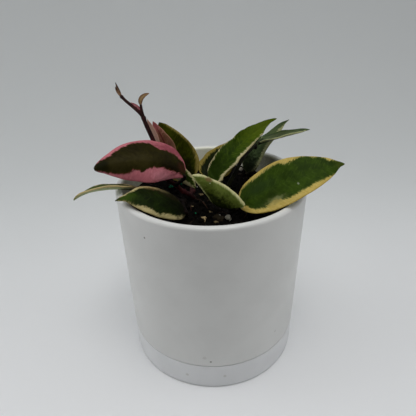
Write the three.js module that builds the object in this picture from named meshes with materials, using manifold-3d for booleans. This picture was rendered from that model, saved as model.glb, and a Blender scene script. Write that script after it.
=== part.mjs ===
// A potted variegated hoya in a white cylinder pot. Millimetres, +Z up.
// The origin is the centre of the saucer's flat underside, and the front is -Y.
import * as THREE from 'three';
import { mergeVertices } from 'three/addons/utils/BufferGeometryUtils.js';
import Module from 'manifold-3d';

const wasm = await Module();
wasm.setup();

// Driving dimensions of the pot
const potHeight = 132;
const rimRadius = 63.5;
const footRadius = 60.5;
const wall = 5;
const lathSides = 48;
const seamHeight = 21;
const seamGap = 0.5;
const drainRadius = 6;
const footRounding = 2;

// Saucer
const saucerWall = 3.5;
const saucerFloor = 3.5;

// Clearances between touching pieces
const clearance = 0.3;

// Soil
const soilHeight = 115.5;
const soilRelief = 1.4;
const soilRings = 6;
const looseGrains = 18;
const shownGrains = [
  { x: 10.5, y: -21.5, size: 2.6 },
  { x: 6, y: -18.5, size: 1.8 },
  { x: -7, y: -22, size: 2.2 },
  { x: 2, y: -27.5, size: 1.6 },
  { x: 24, y: 46, size: 2.4 },
];

// Leaves
const ribThickness = 1.7;
const edgeThickness = 0.9;
const petioleRadius = 1.1;
const bluntEnd = 0.012;
const stalkRootsAt = [0.16, 0.08];
const stalkUnderRib = 0.3;
const leafRows = 12;
const leafColumns = 4;

const colours = {
  pot: 0xe4e4e2,
  saucer: 0xe6e8ea,
  soil: 0x17120e,
  redStem: 0x3a1216,
  greenStem: 0x3d3b1c,
  pinkLeaf: 0x8f4a5c,
  palePink: 0xb98a80,
  oliveLeaf: 0x4a5418,
  greenLeaf: 0x2f4a1e,
  greyGreenLeaf: 0x3c4b33,
  goldenLeaf: 0x3f5a24,
  paleLeaf: 0x8b9a6a,
  bud: 0x9b7a52,
};

// Small helpers

function vector(point) {
  return new THREE.Vector3(...point);
}

// The same stream of numbers on each run
function seeded(seed) {
  let state = seed;
  return () => {
    state = (state * 1664525 + 1013904223) % 4294967296;
    return state / 4294967296;
  };
}

function onlyPositions(geometry) {
  const plain = geometry.clone();
  for (const name of Object.keys(plain.attributes)) {
    if (name !== 'position') plain.deleteAttribute(name);
  }
  return mergeVertices(plain, 1e-4);
}

function toSolid(geometry) {
  const merged = onlyPositions(geometry);
  const mesh = new wasm.Mesh({
    numProp: 3,
    vertProperties: new Float32Array(merged.attributes.position.array),
    triVerts: new Uint32Array(merged.index.array),
  });
  return new wasm.Manifold(mesh);
}

function toGeometry(solid) {
  const mesh = solid.getMesh();
  const geometry = new THREE.BufferGeometry();
  geometry.setAttribute('position', new THREE.BufferAttribute(mesh.vertProperties, 3));
  geometry.setIndex(new THREE.BufferAttribute(mesh.triVerts, 1));
  return geometry;
}

function join(solids) {
  return solids.reduce((whole, solid) => whole.add(solid));
}

function piece(name, geometry, colour, roughness) {
  const material = new THREE.MeshStandardMaterial({ color: colour, roughness, metalness: 0 });
  const mesh = new THREE.Mesh(geometry, material);
  mesh.name = name;
  return mesh;
}

// Pot, saucer and soil

function outerRadius(z) {
  return footRadius + (rimRadius - footRadius) * z / potHeight;
}

// A turned body; the lathe's axis is Y, so it is stood up on Z
function turned(profile) {
  const points = profile.map(([radius, z]) => new THREE.Vector2(radius, z));
  const geometry = new THREE.LatheGeometry(points, lathSides);
  geometry.rotateX(Math.PI / 2);
  return onlyPositions(geometry);
}

// Points of a quarter or half round, from one angle to another, in degrees
function arc(centreRadius, centreZ, radius, from, to, steps) {
  const points = [];
  for (let i = 0; i <= steps; i += 1) {
    const angle = THREE.MathUtils.degToRad(from + (to - from) * i / steps);
    points.push([centreRadius + radius * Math.cos(angle), centreZ + radius * Math.sin(angle)]);
  }
  return points;
}

const saucerInner = outerRadius(seamHeight) - saucerWall;
const potFoot = saucerInner - clearance;
const potBottom = saucerFloor + clearance;
const shoulder = seamHeight + seamGap;
const wellRadius = potFoot - wall;
const wellTop = shoulder + wall;
const floorTop = potBottom + wall;
const lipRadius = wall / 2;
const lipCentre = potHeight - lipRadius;
const innerAtShoulder = outerRadius(wellTop) - wall;

function makePot() {
  const profile = [
    [drainRadius, potBottom],
    [potFoot - 1, potBottom],
    [potFoot, potBottom + 1],
    [potFoot, shoulder],
    [outerRadius(shoulder) - 0.4, shoulder],
    [outerRadius(shoulder), shoulder + 0.4],
    [outerRadius(potHeight / 2), potHeight / 2],
    ...arc(rimRadius - lipRadius, lipCentre, lipRadius, 0, 180, 6),
    [innerAtShoulder, wellTop],
    [wellRadius, shoulder],
    [wellRadius, floorTop],
    [drainRadius, floorTop],
    [drainRadius, potBottom],
  ];
  return turned(profile);
}

function makeSaucer() {
  const profile = [
    [0, 0],
    ...arc(footRadius - footRounding, footRounding, footRounding, -90, 0, 3),
    [outerRadius(seamHeight), seamHeight - 0.4],
    [outerRadius(seamHeight) - 0.4, seamHeight],
    [saucerInner, seamHeight],
    [saucerInner, saucerFloor],
    [0, saucerFloor],
  ];
  return turned(profile);
}

// Low mounds and hollows of the loose mix
function soilBump(x, y) {
  const broad = Math.sin(x * 0.16 + 1.3) * Math.cos(y * 0.19 - 0.4);
  const fine = Math.sin(x * 0.53 + y * 0.31) * Math.cos(y * 0.47 - x * 0.22 + 2);
  return soilRelief * (0.6 * broad + 0.4 * fine);
}

function soilTopAt(x, y) {
  const radius = Math.hypot(x, y);
  const edge = rimRadius - wall;
  return soilHeight + soilBump(x, y) + 1.2 * (radius / edge) ** 4;
}

function innerRadius(z) {
  const share = (z - wellTop) / (lipCentre - wellTop);
  return innerAtShoulder + (rimRadius - wall - innerAtShoulder) * share;
}

// Perlite grains and bark chips lie in the surface, half sunk
function soilGrains() {
  const draw = seeded(41);
  const places = [...shownGrains];
  for (let i = 0; i < looseGrains; i += 1) {
    const angle = draw() * 2 * Math.PI;
    const radius = 8 + 44 * Math.sqrt(draw());
    const size = 1.4 + 1.2 * draw();
    places.push({ x: radius * Math.cos(angle), y: radius * Math.sin(angle), size });
  }
  return places.map(({ x, y, size }) => {
    const grain = new THREE.IcosahedronGeometry(size, 0);
    grain.scale(1, 0.6 + 0.5 * draw(), 0.75);
    grain.rotateZ(draw() * Math.PI);
    grain.translate(x, y, soilTopAt(x, y) + 0.1 * size);
    return toSolid(grain);
  });
}

function makeSoil(stemHoles) {
  const topEdge = soilHeight + 1;
  const profile = [
    [0, floorTop + clearance],
    [wellRadius - clearance, floorTop + clearance],
    [wellRadius - clearance, shoulder],
    [innerAtShoulder - clearance, wellTop],
  ];
  const edgeRadius = innerRadius(topEdge) - clearance;
  for (let i = 0; i <= soilRings; i += 1) {
    profile.push([edgeRadius * (1 - i / soilRings), topEdge]);
  }
  const body = turned(profile);
  const position = body.attributes.position;
  for (let i = 0; i < position.count; i += 1) {
    if (position.getZ(i) > soilHeight) {
      position.setZ(i, soilTopAt(position.getX(i), position.getY(i)));
    }
  }
  let soil = join([toSolid(body), ...soilGrains()]);
  for (const hole of stemHoles) soil = soil.subtract(hole);
  return soil;
}

// Stems

// A round rod along a smooth curve through the points
function rod(points, radius, sides, steps) {
  const path = new THREE.CatmullRomCurve3(points.map(vector), false, 'centripetal');
  const section = new THREE.Shape();
  for (let i = 0; i < sides; i += 1) {
    const angle = 2 * Math.PI * i / sides;
    const x = radius * Math.cos(angle);
    const y = radius * Math.sin(angle);
    if (i === 0) section.moveTo(x, y);
    else section.lineTo(x, y);
  }
  section.closePath();
  const options = { steps, extrudePath: path, bevelEnabled: false };
  return toSolid(new THREE.ExtrudeGeometry(section, options));
}

// A small swelling where leaves join the stem
function joint(at, radius) {
  const bead = new THREE.IcosahedronGeometry(radius, 0);
  bead.translate(...at);
  return toSolid(bead);
}

const stemSides = 6;

// Each stem: branches of points and radius, and the swellings along them
const stems = {
  stem_shoot: {
    colour: colours.redStem,
    branches: [
      {
        points: [
          [-8, 5, 104], [-10.5, 5, 112], [-14, 4, 117.5], [-19, 3.5, 121], [-24, 2.5, 126.5], [-29, 2, 131],
          [-31.5, 3, 138], [-32, 4, 146], [-36.5, 5, 158], [-41, 5, 171], [-43.5, 5, 176],
        ],
        radius: 1.4,
        steps: 26,
      },
      { points: [[-42.5, 5, 174], [-46, 4, 180], [-50, 3, 183.5], [-54, 2, 188]], radius: 1, steps: 8 },
      { points: [[-42.5, 5, 174], [-43.2, 5, 178], [-42.8, 5, 181.5]], radius: 0.8, steps: 4 },
    ],
    joints: [{ at: [-19, 3.5, 121], radius: 1.9 }, { at: [-30.5, 2.5, 135], radius: 1.9 }],
  },
  stem_centre: {
    colour: colours.greenStem,
    branches: [
      { points: [[7, 6, 100], [6.5, 6, 112], [6, 6, 119]], radius: 1.6, steps: 6 },
      {
        points: [[6.3, 6, 114], [10, 8.5, 120], [18, 15, 127], [27, 24, 136], [33.5, 31, 143]],
        radius: 1.2,
        steps: 12,
      },
    ],
    joints: [{ at: [6, 6, 118.5], radius: 2.2 }],
  },
  stem_back: {
    colour: colours.greenStem,
    branches: [{ points: [[27, 37, 100], [28, 37, 112], [29, 36.5, 118.5]], radius: 1.4, steps: 6 }],
    joints: [{ at: [29, 36.5, 118], radius: 1.8 }],
  },
  stem_right: {
    colour: colours.greenStem,
    branches: [{ points: [[13, -14, 100], [14, -15, 112], [14.5, -16, 120]], radius: 1.5, steps: 6 }],
    joints: [{ at: [14.5, -16, 119], radius: 1.9 }],
  },
  stem_left: {
    colour: colours.redStem,
    branches: [{ points: [[-18, -4, 100], [-19, -5, 112], [-20, -6, 119.5]], radius: 1.4, steps: 6 }],
    joints: [{ at: [-20, -6, 118.5], radius: 1.8 }],
  },
};

function makeStem(stem, extra) {
  const rods = stem.branches.map((branch) => (
    rod(branch.points, branch.radius + extra, stemSides, branch.steps)
  ));
  const beads = stem.joints.map((bead) => joint(bead.at, bead.radius + extra));
  return join([...rods, ...beads]);
}

// Leaves

// Half width along the rib: rises by the root power, falls to the tip by the point power
function halfWidth(leaf, t) {
  const widest = leaf.root / (leaf.root + leaf.point);
  return leaf.width / 2 * (t / widest) ** leaf.root * ((1 - t) / (1 - widest)) ** leaf.point;
}

// The rib is a quadratic curve that passes the middle point half way
function ribCurve(leaf) {
  const base = vector(leaf.base);
  const tip = vector(leaf.tip);
  const pull = vector(leaf.middle).multiplyScalar(2);
  pull.addScaledVector(base, -0.5).addScaledVector(tip, -0.5);
  return new THREE.QuadraticBezierCurve3(base, pull, tip);
}

// The point of the blade's middle surface at t along the rib and s across it
function bladePoint(leaf, rib, t, s) {
  const along = rib.getTangent(t);
  const across = vector(leaf.face).normalize().cross(along).normalize();
  const up = along.clone().cross(across);
  const turn = THREE.MathUtils.degToRad(leaf.twist * (t - 0.5));
  const side = across.clone().multiplyScalar(Math.cos(turn)).addScaledVector(up, Math.sin(turn));
  const normal = up.clone().multiplyScalar(Math.cos(turn)).addScaledVector(across, -Math.sin(turn));
  const half = halfWidth(leaf, t);
  const spread = Math.sqrt(1 - leaf.fold ** 2);
  const phase = s < 0 ? 0 : 1.7;
  const wave = leaf.wave * s * s * Math.sin(2 * Math.PI * leaf.waves * t + phase);
  const lift = leaf.fold * half * Math.abs(s) ** 1.4 + wave * Math.min(1, half / 4);
  const point = rib.getPoint(t).addScaledVector(side, s * half * spread).addScaledVector(normal, lift);
  return { point, normal };
}

function makeBlade(leaf) {
  const rib = ribCurve(leaf);
  const rows = leaf.rows ?? leafRows;
  const columns = leaf.columns ?? leafColumns;
  const thin = leaf.thin ?? 1;
  const positions = [];
  const index = [];
  const faceSize = (rows + 1) * (columns + 1);
  for (const face of [1, -1]) {
    for (let i = 0; i <= rows; i += 1) {
      const t = bluntEnd + (1 - 2 * bluntEnd) * (0.5 - 0.5 * Math.cos(Math.PI * i / rows));
      for (let j = 0; j <= columns; j += 1) {
        const s = 2 * j / columns - 1;
        const thickness = thin * (ribThickness + (edgeThickness - ribThickness) * Math.abs(s));
        const { point, normal } = bladePoint(leaf, rib, t, s);
        point.addScaledVector(normal, face * thickness / 2);
        positions.push(point.x, point.y, point.z);
      }
    }
  }
  const cell = (i, j) => i * (columns + 1) + j;
  for (let i = 0; i < rows; i += 1) {
    for (let j = 0; j < columns; j += 1) {
      const a = cell(i, j);
      const b = cell(i + 1, j);
      const c = cell(i + 1, j + 1);
      const d = cell(i, j + 1);
      index.push(a, b, c, a, c, d);
      index.push(faceSize + a, faceSize + c, faceSize + b, faceSize + a, faceSize + d, faceSize + c);
    }
  }
  const rim = [];
  for (let i = 0; i < rows; i += 1) rim.push(cell(i, 0));
  for (let j = 0; j < columns; j += 1) rim.push(cell(rows, j));
  for (let i = rows; i > 0; i -= 1) rim.push(cell(i, columns));
  for (let j = columns; j > 0; j -= 1) rim.push(cell(0, j));
  rim.forEach((from, k) => {
    const to = rim[(k + 1) % rim.length];
    index.push(from, faceSize + from, faceSize + to, from, faceSize + to, to);
  });
  const geometry = new THREE.BufferGeometry();
  geometry.setAttribute('position', new THREE.Float32BufferAttribute(positions, 3));
  geometry.setIndex(index);
  return toSolid(geometry);
}

// The stalk runs on under the rib for a while and ends just short of its stem
function makeLeaf(leaf) {
  const blade = makeBlade(leaf);
  if (!leaf.stalk) return blade;
  const rib = ribCurve(leaf);
  const inBlade = stalkRootsAt.map((t) => {
    const { point, normal } = bladePoint(leaf, rib, t, 0);
    return point.addScaledVector(normal, -stalkUnderRib).toArray();
  });
  const points = [...inBlade, leaf.base, ...leaf.stalk];
  const stalk = rod(points, leaf.stalkRadius ?? petioleRadius, 6, leaf.stalkSteps ?? 8);
  return join([blade, stalk]).subtract(makeStem(stems[leaf.stem], clearance));
}

const leaves = [
  {
    name: 'leaf_pink_large', colour: colours.pinkLeaf, stem: 'stem_shoot',
    base: [-17, -9, 138], middle: [-38.5, -14, 152.5], tip: [-70.5, -20, 150.5], face: [-0.1, -0.7, 0.7],
    twist: -25, width: 32, fold: -0.4, root: 0.75, point: 0.72, wave: 0.8, waves: 2,
    stalk: [[-17.5, -6, 130.5], [-18.5, -1, 124.5], [-19, 2.5, 121.5]],
  },
  {
    name: 'leaf_pink_narrow', colour: colours.palePink, stem: 'stem_shoot',
    base: [-29.5, 8, 137], middle: [-32, 9.5, 153], tip: [-37.5, 10.5, 169], face: [-0.3, -0.9, 0.4],
    twist: 0, width: 13, fold: 0.2, root: 0.6, point: 0.9, wave: 0.4, waves: 2,
    stalk: [[-29.5, 5, 134.5], [-30, 3, 133.5]],
  },
  {
    name: 'leaf_pink_sliver', colour: colours.palePink, stem: 'stem_shoot', rows: 8, columns: 2,
    base: [-34, 7.5, 151], middle: [-37, 7.8, 162.5], tip: [-40.3, 7.8, 171.5], face: [-0.2, -1, 0.3],
    twist: 0, width: 4.5, fold: 0.2, root: 0.5, point: 0.7, wave: 0, waves: 1, thin: 0.6,
    stalk: [[-33.5, 7, 148.5], [-32.5, 4.5, 146]], stalkRadius: 0.6, stalkSteps: 4,
  },
  {
    name: 'leaf_olive_upright', colour: colours.oliveLeaf, stem: 'stem_shoot',
    base: [-14.5, 11, 125.5], middle: [-25, 17, 145], tip: [-34, 21, 165], face: [-0.1, -0.8, 0.5],
    twist: 0, width: 27, fold: 0.15, root: 0.6, point: 0.9, wave: 0.6, waves: 2,
    stalk: [[-13.5, 8, 121], [-14, 4.5, 118]],
  },
  {
    name: 'leaf_small_hanging', colour: colours.greenLeaf, stem: 'stem_shoot',
    base: [-26, 2, 143], middle: [-18.5, 0, 136.5], tip: [-10.5, -1, 125.5], face: [-0.2, -0.8, 0.6],
    twist: 0, width: 13, fold: -0.15, root: 0.6, point: 0.85, wave: 0.3, waves: 2,
    stalk: [[-29, 2.5, 141], [-31, 3, 137]],
  },
  {
    name: 'leaf_centre', colour: colours.greenLeaf, stem: 'stem_centre',
    base: [3.5, 0, 128], middle: [17, 11, 148], tip: [45.5, 22, 165.5], face: [-0.45, -0.7, 0.55],
    twist: 15, width: 20, fold: 0.3, root: 0.55, point: 0.8, wave: 0.8, waves: 3,
    stalk: [[4, 2, 122], [5, 5, 118.5]],
  },
  {
    name: 'leaf_centre_back', colour: colours.oliveLeaf, stem: 'stem_centre',
    base: [-2, 12, 126], middle: [6.5, 21, 135], tip: [20, 30, 147], face: [-0.2, -0.7, 0.7],
    twist: 0, width: 24, fold: 0.15, root: 0.6, point: 0.8, wave: 0.6, waves: 2,
    stalk: [[1, 9, 121.5], [5, 6.5, 118.8]],
  },
  {
    name: 'leaf_back_upright', colour: colours.greyGreenLeaf, stem: 'stem_back',
    base: [31, 34, 120], middle: [37.5, 39, 138], tip: [58, 42, 158], face: [-0.45, -0.8, 0.35],
    twist: 10, width: 15, fold: 0.15, root: 0.6, point: 1, wave: 0.5, waves: 2,
    stalk: [[30.5, 35, 119], [29.5, 36, 118.2]],
  },
  {
    name: 'leaf_back_folded', colour: colours.greyGreenLeaf, stem: 'stem_centre',
    base: [36, 31.5, 145], middle: [52, 29, 150], tip: [70, 27.5, 155], face: [-0.05, 0.2, 1],
    twist: 0, width: 18, fold: 0.2, root: 0.45, point: 1, wave: 0.4, waves: 2,
    stalk: [[34.5, 31.5, 144]],
  },
  {
    name: 'leaf_right_golden', colour: colours.goldenLeaf, stem: 'stem_right',
    base: [18, -22, 123.5], middle: [45.5, -31, 144], tip: [80, -26, 152], face: [-0.1, -0.6, 0.8],
    twist: 0, width: 31, fold: 0.1, root: 0.55, point: 0.85, wave: 0.8, waves: 2,
    stalk: [[16.5, -20, 121.5], [15.5, -17, 119.5]],
  },
  {
    name: 'leaf_front_pale', colour: colours.paleLeaf, stem: 'stem_right',
    base: [18, -32, 129], middle: [4.5, -27, 136.5], tip: [-12, -18, 143], face: [0.2, -0.8, 0.5],
    twist: 15, width: 14.5, fold: -0.25, root: 0.6, point: 0.6, wave: 0.4, waves: 2,
    stalk: [[16, -27.5, 125.5], [11.5, -22, 121], [13, -18, 118]],
  },
  {
    name: 'leaf_left_narrow', colour: colours.greenLeaf, stem: 'stem_left',
    base: [-46.5, -10, 130], middle: [-65, -20, 135.5], tip: [-86.5, -23, 130], face: [0, 0.3, 0.95],
    twist: 0, width: 11.5, fold: 0.4, root: 0.5, point: 0.7, wave: 0.4, waves: 2,
    stalk: [[-38, -7, 130.5], [-27, -5, 122.5], [-21, -6, 118.5]],
  },
  {
    name: 'leaf_front_left', colour: colours.greenLeaf, stem: 'stem_left',
    base: [-16.5, -26, 121], middle: [-37.5, -34.5, 137], tip: [-57.5, -35, 135.5], face: [0.1, -0.35, 0.9],
    twist: 15, width: 22, fold: -0.18, root: 0.6, point: 1.15, wave: 0.8, waves: 2,
    stalk: [[-15.5, -20, 118.5], [-18, -10, 118.2], [-19.5, -7, 118.3]],
  },
];

// Young growth on the shoot; these sit against it with no stalk of their own
const shootGrowth = [
  {
    name: 'shoot_bud', colour: colours.bud, rows: 5, columns: 2,
    base: [-54, 2, 188.1], middle: [-55.8, 2, 192.5], tip: [-56.3, 2, 196.5], face: [0, -1, 0.1],
    twist: 0, width: 3, fold: 0.2, root: 0.5, point: 0.8, wave: 0, waves: 1,
  },
  {
    name: 'shoot_leaflet', colour: colours.bud, rows: 6, columns: 2,
    base: [-42.8, 5, 181.7], middle: [-41, 5, 186.3], tip: [-37, 5, 188.5], face: [-0.3, -0.9, 0.3],
    twist: 0, width: 4, fold: 0.3, root: 0.5, point: 0.8, wave: 0, waves: 1,
  },
  {
    name: 'shoot_leaf_pink', colour: colours.palePink, rows: 6, columns: 2,
    base: [-44, 5, 178.5], middle: [-46, 5, 181.6], tip: [-48.8, 4.5, 183.7], face: [0.1, -0.9, 0.4],
    twist: 0, width: 2.8, fold: 0.2, root: 0.5, point: 0.8, wave: 0, waves: 1, thin: 0.6,
  },
];

// The whole plant in its pot

function makePottedHoya() {
  const plant = new THREE.Group();
  plant.add(piece('saucer', makeSaucer(), colours.saucer, 0.45));
  plant.add(piece('pot', makePot(), colours.pot, 0.45));
  const holes = Object.values(stems).map((stem) => makeStem(stem, clearance));
  plant.add(piece('soil', toGeometry(makeSoil(holes)), colours.soil, 0.95));
  for (const [name, stem] of Object.entries(stems)) {
    plant.add(piece(name, toGeometry(makeStem(stem, 0)), stem.colour, 0.6));
  }
  for (const leaf of leaves) {
    plant.add(piece(leaf.name, toGeometry(makeLeaf(leaf)), leaf.colour, 0.4));
  }
  const shoot = makeStem(stems.stem_shoot, clearance);
  for (const leaf of shootGrowth) {
    plant.add(piece(leaf.name, toGeometry(makeBlade(leaf).subtract(shoot)), leaf.colour, 0.5));
  }
  return plant;
}

export default makePottedHoya();
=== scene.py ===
import math
import random

import bmesh
import bpy
from mathutils import Matrix, Vector, noise


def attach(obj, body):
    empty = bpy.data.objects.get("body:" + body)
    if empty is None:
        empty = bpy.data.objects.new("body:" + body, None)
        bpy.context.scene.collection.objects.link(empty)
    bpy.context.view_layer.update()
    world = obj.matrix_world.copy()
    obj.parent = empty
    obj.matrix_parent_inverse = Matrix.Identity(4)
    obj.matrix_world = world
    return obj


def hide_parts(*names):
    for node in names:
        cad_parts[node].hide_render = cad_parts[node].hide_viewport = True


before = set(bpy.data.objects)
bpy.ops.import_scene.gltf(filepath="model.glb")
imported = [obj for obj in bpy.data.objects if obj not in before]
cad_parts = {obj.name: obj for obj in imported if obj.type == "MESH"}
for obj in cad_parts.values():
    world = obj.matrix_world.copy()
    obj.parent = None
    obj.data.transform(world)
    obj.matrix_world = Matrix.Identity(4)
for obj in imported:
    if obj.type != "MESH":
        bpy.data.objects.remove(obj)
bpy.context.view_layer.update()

mm = 0.001


# Handwork that every piece needs

def deselectAll():
    if bpy.context.object and bpy.context.object.mode != "OBJECT":
        bpy.ops.object.mode_set(mode="OBJECT")
    bpy.ops.object.select_all(action="DESELECT")


def pickOnly(piece):
    deselectAll()
    piece.select_set(True)
    bpy.context.view_layer.objects.active = piece


def openForEdit(piece):
    pickOnly(piece)
    bpy.ops.object.mode_set(mode="EDIT")
    bpy.ops.mesh.select_all(action="DESELECT")


def applyModifiers(piece):
    pickOnly(piece)
    for modifier in list(piece.modifiers):
        bpy.ops.object.modifier_apply(modifier=modifier.name)


def placeInMesh(piece):  # the object ends at the origin, its place in its mesh
    pickOnly(piece)
    bpy.ops.object.transform_apply(location=True, rotation=True, scale=True)


def added(add, **settings):  # a new primitive, with its place already in its mesh
    deselectAll()
    add(**settings)
    placeInMesh(bpy.context.object)
    return bpy.context.object


def turnOutward():  # the normals of the piece in edit mode
    bpy.ops.mesh.select_all(action="SELECT")
    bpy.ops.mesh.normals_make_consistent(inside=False)


def joinInto(piece, others):
    pickOnly(piece)
    for other in others:
        other.select_set(True)
    bpy.ops.object.join()
    return piece


def copyOf(piece):
    copy = piece.copy()
    copy.data = piece.data.copy()
    bpy.context.collection.objects.link(copy)
    return copy


def giveMaterials(piece, *materials):
    piece.data.materials.clear()
    for material in materials:
        piece.data.materials.append(material)


def smooth(piece, degrees=None):
    pickOnly(piece)
    if degrees is None:
        bpy.ops.object.shade_smooth()
    else:
        bpy.ops.object.shade_smooth_by_angle(angle=math.radians(degrees))


def finishPiece(piece, name, slot, *nodes):
    piece.name = name
    piece.data.name = name
    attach(piece, "root")
    if nodes:
        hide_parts(*nodes)


def between(stations, t):  # eased steps through {percent: value}
    spots = [(percent / 100, value) for percent, value in stations.items()]
    for (start, low), (end, high) in zip(spots, spots[1:]):
        if t <= end:
            share = (t - start) / (end - start)
            return low + (high - low) * (share + share * share * (3 - 2 * share)) / 2
    return spots[-1][1]


# Shader helpers. A colour is a socket, or red, green and blue as a screen shows them, 0 to 255.

def screen(colour):
    levels = []
    for value in colour:
        share = value / 255
        levels.append(share / 12.92 if share <= 0.04045 else ((share + 0.055) / 1.055) ** 2.4)
    return (*levels, 1.0)


def setSockets(tree, node, values):
    for socket, value in values.items():
        if isinstance(value, bpy.types.NodeSocket):
            tree.links.new(value, node.inputs[socket])
        else:
            node.inputs[socket].default_value = value


def addNode(tree, kind, values=None, **settings):
    node = tree.nodes.new("ShaderNode" + kind)
    for key, value in settings.items():
        setattr(node, key, value)
    setSockets(tree, node, values or {})
    return node


def calc(tree, operation, *values):
    return addNode(tree, "Math", dict(enumerate(values)), operation=operation).outputs[0]


def times(tree, first, second):
    return calc(tree, "MULTIPLY", first, second)


def vectorCalc(tree, operation, *values):
    node = addNode(tree, "VectorMath", dict(enumerate(values)), operation=operation)
    return node.outputs["Value" if operation == "LENGTH" else "Vector"]


def split(tree, vector):
    return addNode(tree, "SeparateXYZ", {0: vector}).outputs


def combine(tree, x, y, z):
    return addNode(tree, "CombineXYZ", {"X": x, "Y": y, "Z": z}).outputs[0]


def fade(tree, value, low, high, first=0.0, last=1.0):
    values = {"Value": value, "From Min": low, "From Max": high, "To Min": first, "To Max": last}
    return addNode(tree, "MapRange", values, interpolation_type="SMOOTHSTEP").outputs["Result"]


def mixColours(tree, share, first, second):
    values = {0: share}
    for place, colour in ((6, first), (7, second)):  # the Mix node's two colour inputs
        values[place] = colour if isinstance(colour, bpy.types.NodeSocket) else screen(colour)
    return addNode(tree, "Mix", values, data_type="RGBA").outputs[2]


def tint(tree, colour, mask, share, tone):
    return mixColours(tree, times(tree, mask, share), colour, tone)


def noiseAt(tree, vector, scale, detail=2.0, roughness=0.5):
    values = {"Vector": vector, "Scale": scale, "Detail": detail, "Roughness": roughness}
    return addNode(tree, "TexNoise", values).outputs["Fac"]


def newGroup(name, inputs, *outputs):
    tree = bpy.data.node_groups.new(name, "ShaderNodeTree")
    for label, value in inputs.items():
        kind = "NodeSocketVector" if isinstance(value, tuple) else "NodeSocketFloat"
        tree.interface.new_socket(name=label, in_out="INPUT", socket_type=kind).default_value = value
    for label in outputs:
        tree.interface.new_socket(name=label, in_out="OUTPUT", socket_type="NodeSocketFloat")
    return tree, tree.nodes.new("NodeGroupInput").outputs, tree.nodes.new("NodeGroupOutput")


def useGroup(tree, group, values):
    return addNode(tree, "Group", values, node_tree=group).outputs


def grainHere(tree, look):  # the object's own space, and the grain in it
    here = addNode(tree, "TexCoord").outputs["Object"]
    return here, useGroup(tree, grainGroup, {"Vector": here, "Coarse": look["coarse"], "Fine": look["fine"]})


def newMaterial(name):
    material = bpy.data.materials.new(name)
    material.use_nodes = True
    return material, material.node_tree, material.node_tree.nodes["Principled BSDF"]


def bump(tree, height, relief, strength):  # relief in mm
    values = {"Height": height, "Distance": relief * mm, "Strength": strength}
    return addNode(tree, "Bump", values).outputs["Normal"]


# Where the pale margin of a leaf begins, with its ragged edge along the veins.
# Place is the spot on the blade: mm along the rib, mm across it, mm into the margin.

raggedEdge = {
    "slant": 0.8,  # how far its teeth lean towards the tip for each mm off the rib
    "teeth": (0.8, 0.34), "bays": (0.21, 0.12),  # cells of noise a mm, along the rib and across it
    "depth": 9.0, "bayShare": 0.45,  # mm at a raggedness of 1, and how much of it the bays add
    "halfAhead": 0.5,  # mm that the half tone runs ahead of the margin
}


def makeMarginGroup():
    inputs = {"Place": (0, 0, 0), "Ragged": 1.2, "Blend": 0.3, "Seed": 0}
    tree, given, result = newGroup("paleMargin", inputs, "Pale", "Half")
    spot = split(tree, given["Place"])
    off = calc(tree, "ABSOLUTE", spot["Y"])
    vein = calc(tree, "MULTIPLY_ADD", off, -raggedEdge["slant"], spot["X"])

    def torn(cells, seed, detail, roughness):
        place = combine(tree, times(tree, vein, cells[0]), times(tree, spot["Y"], cells[1]), seed)
        return calc(tree, "SUBTRACT", noiseAt(tree, place, 1.0, detail, roughness), 0.5)

    teeth = torn(raggedEdge["teeth"], given["Seed"], 5.0, 0.75)
    bays = torn(raggedEdge["bays"], calc(tree, "ADD", given["Seed"], 7.3), 3.0, 0.6)
    wide = times(tree, given["Ragged"], raggedEdge["depth"])
    depth = calc(tree, "MULTIPLY_ADD", teeth, wide, spot["Z"])
    halfDepth = calc(tree, "MULTIPLY_ADD", bays, times(tree, wide, raggedEdge["bayShare"]), depth)
    ahead = calc(tree, "ADD", halfDepth, raggedEdge["halfAhead"])
    low = times(tree, given["Blend"], -1.0)
    setSockets(tree, result, {
        "Pale": fade(tree, depth, low, given["Blend"]), "Half": fade(tree, ahead, low, given["Blend"]),
    })
    return tree


# Side veins, rib, mottling and fine streaks of a blade

veinShape = {
    "spacing": 6.5, "slant": 0.85, "wobble": 5.0, "width": 0.16,
    "fadeOut": (13.0, 2.0), "rib": (1.0, 0.15),  # mm off the rib, from none to full
    "mottle": (0.36, 0.64), "fleck": (0.4, 0.62),  # levels of noise, from none to full
    "wobbleCells": 0.16, "mottleCells": 0.14, "fleckCells": 0.6, "reliefCells": 1.5,  # a mm
    "streakCells": 1.1, "streakAcross": 0.2, "streakRelief": 0.7, "veinDip": 0.35, "ribDip": 0.3,
}


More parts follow.
